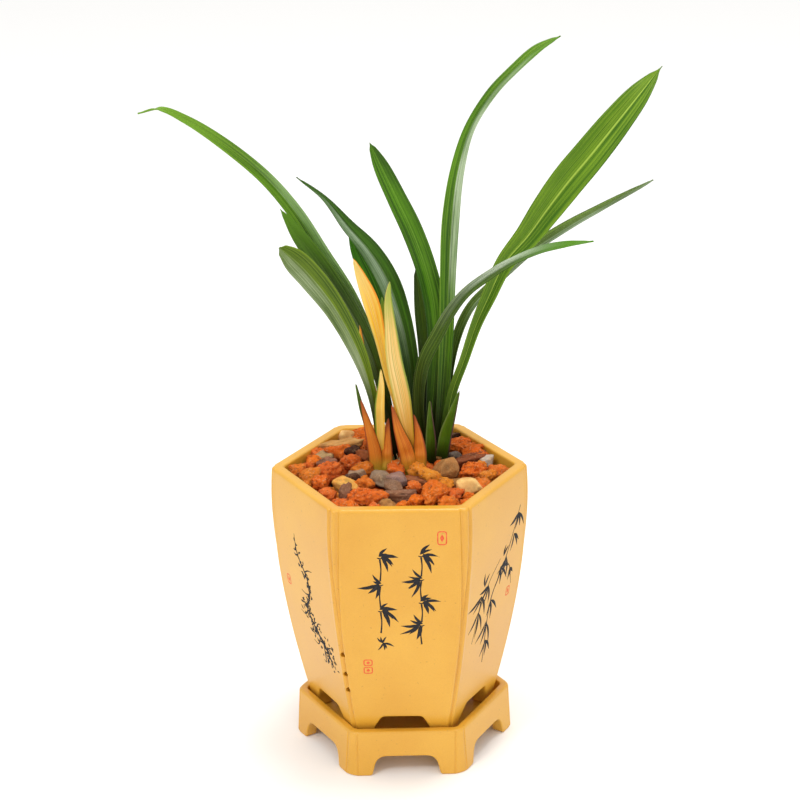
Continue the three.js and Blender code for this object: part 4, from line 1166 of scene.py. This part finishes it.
def paint_column(painting, u, top, bottom, count, size, rng):
    """A slender upright cane: at each joint a knot, a side twig and a bold cluster of leaves."""
    joints = np.linspace(top, bottom, count)
    for i, h in enumerate(joints):
        lean = -1 if i % 2 else 1
        low = h - (joints[0] - joints[-1]) / (count - 1) * 0.86
        painting.stroke([(u, h - 1), (u + 0.5 * lean, (h + low) / 2), (u, low)], [1.1, 0.7, 1.0], 10)
        painting.stroke([(u - 1.6, h), (u, h - 0.5), (u + 1.7, h + 0.1)], [0.5, 0.9, 0.4], 8)
        painting.spray(u + lean * 0.8, h + 0.5, -90 + lean * 52, size, 2.4, 3, rng)
        painting.spray(u - lean * 0.6, h + 1, 90 - lean * 58, size * 0.62, 1.9, 2, rng)
        painting.leaf(u + lean * 1.0, h + 1.5, 90 + lean * -140, size * 0.8, 2.0)


def paint_bamboo(painting, rng, mirror=1):
    """Leaning canes with clusters of drooping leaves."""
    canes = [([(-2, 40), (-5, 70), (-3, 86), (10, 104), (27, 134)], 1.1),
             ([(-22, 62), (-17, 84), (-8, 98), (4, 108)], 0.7), ([(10, 104), (17, 98), (22, 84)], 0.6)]
    for places, width in canes:
        painting.stroke([(mirror * u, h) for u, h in places], [width * 0.6, width, width * 0.5], 30)
    clusters = [(-17, 92, -112, 17, 4), (-19, 82, -96, 17, 3), (-9, 96, -125, 14, 4), (-4, 84, -80, 15, 3),
                (-6, 70, -106, 19, 3), (5, 102, -60, 15, 4), (12, 106, -112, 14, 3), (20, 118, -70, 13, 3),
                (25, 130, -104, 13, 4), (-3, 56, -84, 12, 3), (18, 96, -74, 9, 3),
                (-14, 97, 70, 12, 2), (8, 108, 48, 10, 2)]
    for u, h, heading, size, count in clusters:
        if mirror < 0:
            u, heading = -u, 180 - heading
        painting.spray(u, h, heading, size, 2.2, count, rng)


def paint_plum(painting, rng):
    """A gnarled branch that comes down to a rocky clump, thick with small leaves."""
    branch = [(-9, 124), (-7, 112), (3, 98), (3, 87), (-3, 77), (4, 66), (14, 57), (20, 46)]
    painting.stroke(branch[:5], [0.4, 1.5, 1.0], 30)
    painting.stroke(branch[4:], [1.0, 2.2, 1.4], 24)
    for start, end in (((0, 102), (10, 106)), ((3, 88), (-7, 88)), ((-2, 76), (-12, 72)), ((5, 66), (13, 72)),
                       ((9, 62), (-1, 56)), ((15, 56), (24, 60)), ((12, 58), (8, 46))):
        painting.stroke([start, ((start[0] + end[0]) / 2, end[1] - 1), end], [1.1, 0.8, 0.3], 10)
    curve, _ = smooth_curve([[u, h, 0, 0] for u, h in branch], np.linspace(0.08, 1, 58))
    for i, at in enumerate(curve):
        spread = 2.2 + 7.5 * smoothstep(18, 48, i)
        for _ in range(2 if i < 24 else 4):
            u, h = at[0] + rng.normal() * spread * 0.55, at[1] + rng.normal() * 2.6
            painting.leaf(u, h, rng.uniform(0, 360), rng.uniform(1.8, 3.6), rng.uniform(1.0, 1.7))


def paint_mark(painting, u, h, width, height):
    """A plain red lozenge in a rounded frame."""
    ring = [(math.cos(a), math.sin(a)) for a in np.linspace(0, 2 * math.pi, 17)]
    ring = [(np.sign(c) * abs(c) ** 0.4, np.sign(s) * abs(s) ** 0.4) for c, s in ring]
    painting.stroke([(u + c * width / 2, h + s * height / 2) for c, s in ring], [0.7, 0.7], 48)
    painting.stroke([(u, h - height * 0.3), (u, h), (u, h + height * 0.3)], [0.1, width * 0.5, 0.1], 12)


def paint_pot():
    rng = np.random.default_rng(5)
    front, right, left, back = (Painting(side) for side in (FRONT, RIGHT, LEFT, BACK))
    paint_column(front, 12, 128, 82, 4, 12.5, rng)
    paint_column(front, -11.5, 127, 92, 3, 11.5, rng)
    front.spray(-10.5, 70, -70, 6.5, 1.4, 4, rng)
    front.spray(-10.5, 70, 100, 5.5, 1.2, 3, rng)
    paint_bamboo(right, rng)
    paint_plum(left, rng)
    paint_bamboo(back, rng, mirror=-1)
    for name, painting in (("front", front), ("right", right), ("left", left), ("back", back)):
        painting.add(f"ink_{name}", ink)
    marks = [(FRONT, 24, 139, 5, 8), (FRONT, -19.5, 56, 4.8, 4), (FRONT, -19.5, 50.5, 4.8, 4.2),
             (RIGHT, 19, 80, 4, 5.5), (LEFT, -23, 88, 4, 6)]
    for number, (side, u, h, width, height) in enumerate(marks, 1):
        mark = Painting(side)
        paint_mark(mark, u, h, width, height)
        mark.add(f"seal_mark_{number}", seal_red)


paint_pot()


# ---- Floor, light and world -----------------------------------------------------------------

def area_light(name, place, target, size, power):
    lamp = bpy.data.lights.new(name, "AREA")
    lamp.shape = "DISK"
    lamp.size = size
    lamp.energy = power
    light = linked(name, lamp)
    light.location = place
    light.rotation_euler = (Vector(target) - Vector(place)).to_track_quat("-Z", "Y").to_euler()
    return light


def make_stage():
    reach = 6.0
    mesh = bpy.data.meshes.new("floor")
    mesh.from_pydata([(-reach, -reach, 0), (reach, -reach, 0), (reach, reach, 0), (-reach, reach, 0)],
                     [], [(0, 1, 2, 3)])
    shade = Shade("floor", Roughness=0.9, Specular_IOR_Level=0.1)
    mesh.materials.append(shade.finish("#fbfaf8"))
    linked("floor", mesh)
    aim = (0, 0, 0.2)
    area_light("key", (-1.0, -1.3, 1.9), aim, 0.45, 13)
    area_light("fill", (0.7, -1.9, 0.55), aim, 1.0, 4)
    area_light("top", (0.3, 0.2, 2.0), aim, 0.7, 15)
    world = bpy.data.worlds.new("studio")
    bpy.context.scene.world = world
    world.use_nodes = True
    tree = world.node_tree
    direction = tree.nodes.new("ShaderNodeTexCoord").outputs["Generated"]
    parts = tree.nodes.new("ShaderNodeSeparateXYZ")
    tree.links.new(direction, parts.inputs[0])
    rise = tree.nodes.new("ShaderNodeMapRange")
    for socket, value in zip(rise.inputs[1:5], (0, 1, 0.6, 1.12)):
        socket.default_value = value
    tree.links.new(parts.outputs[2], rise.inputs[0])
    tree.links.new(rise.outputs[0], tree.nodes["Background"].inputs["Strength"])
    tree.nodes["Background"].inputs["Color"].default_value = (1, 1, 1, 1)


make_stage()
bpy.context.scene.view_settings.view_transform = "Standard"
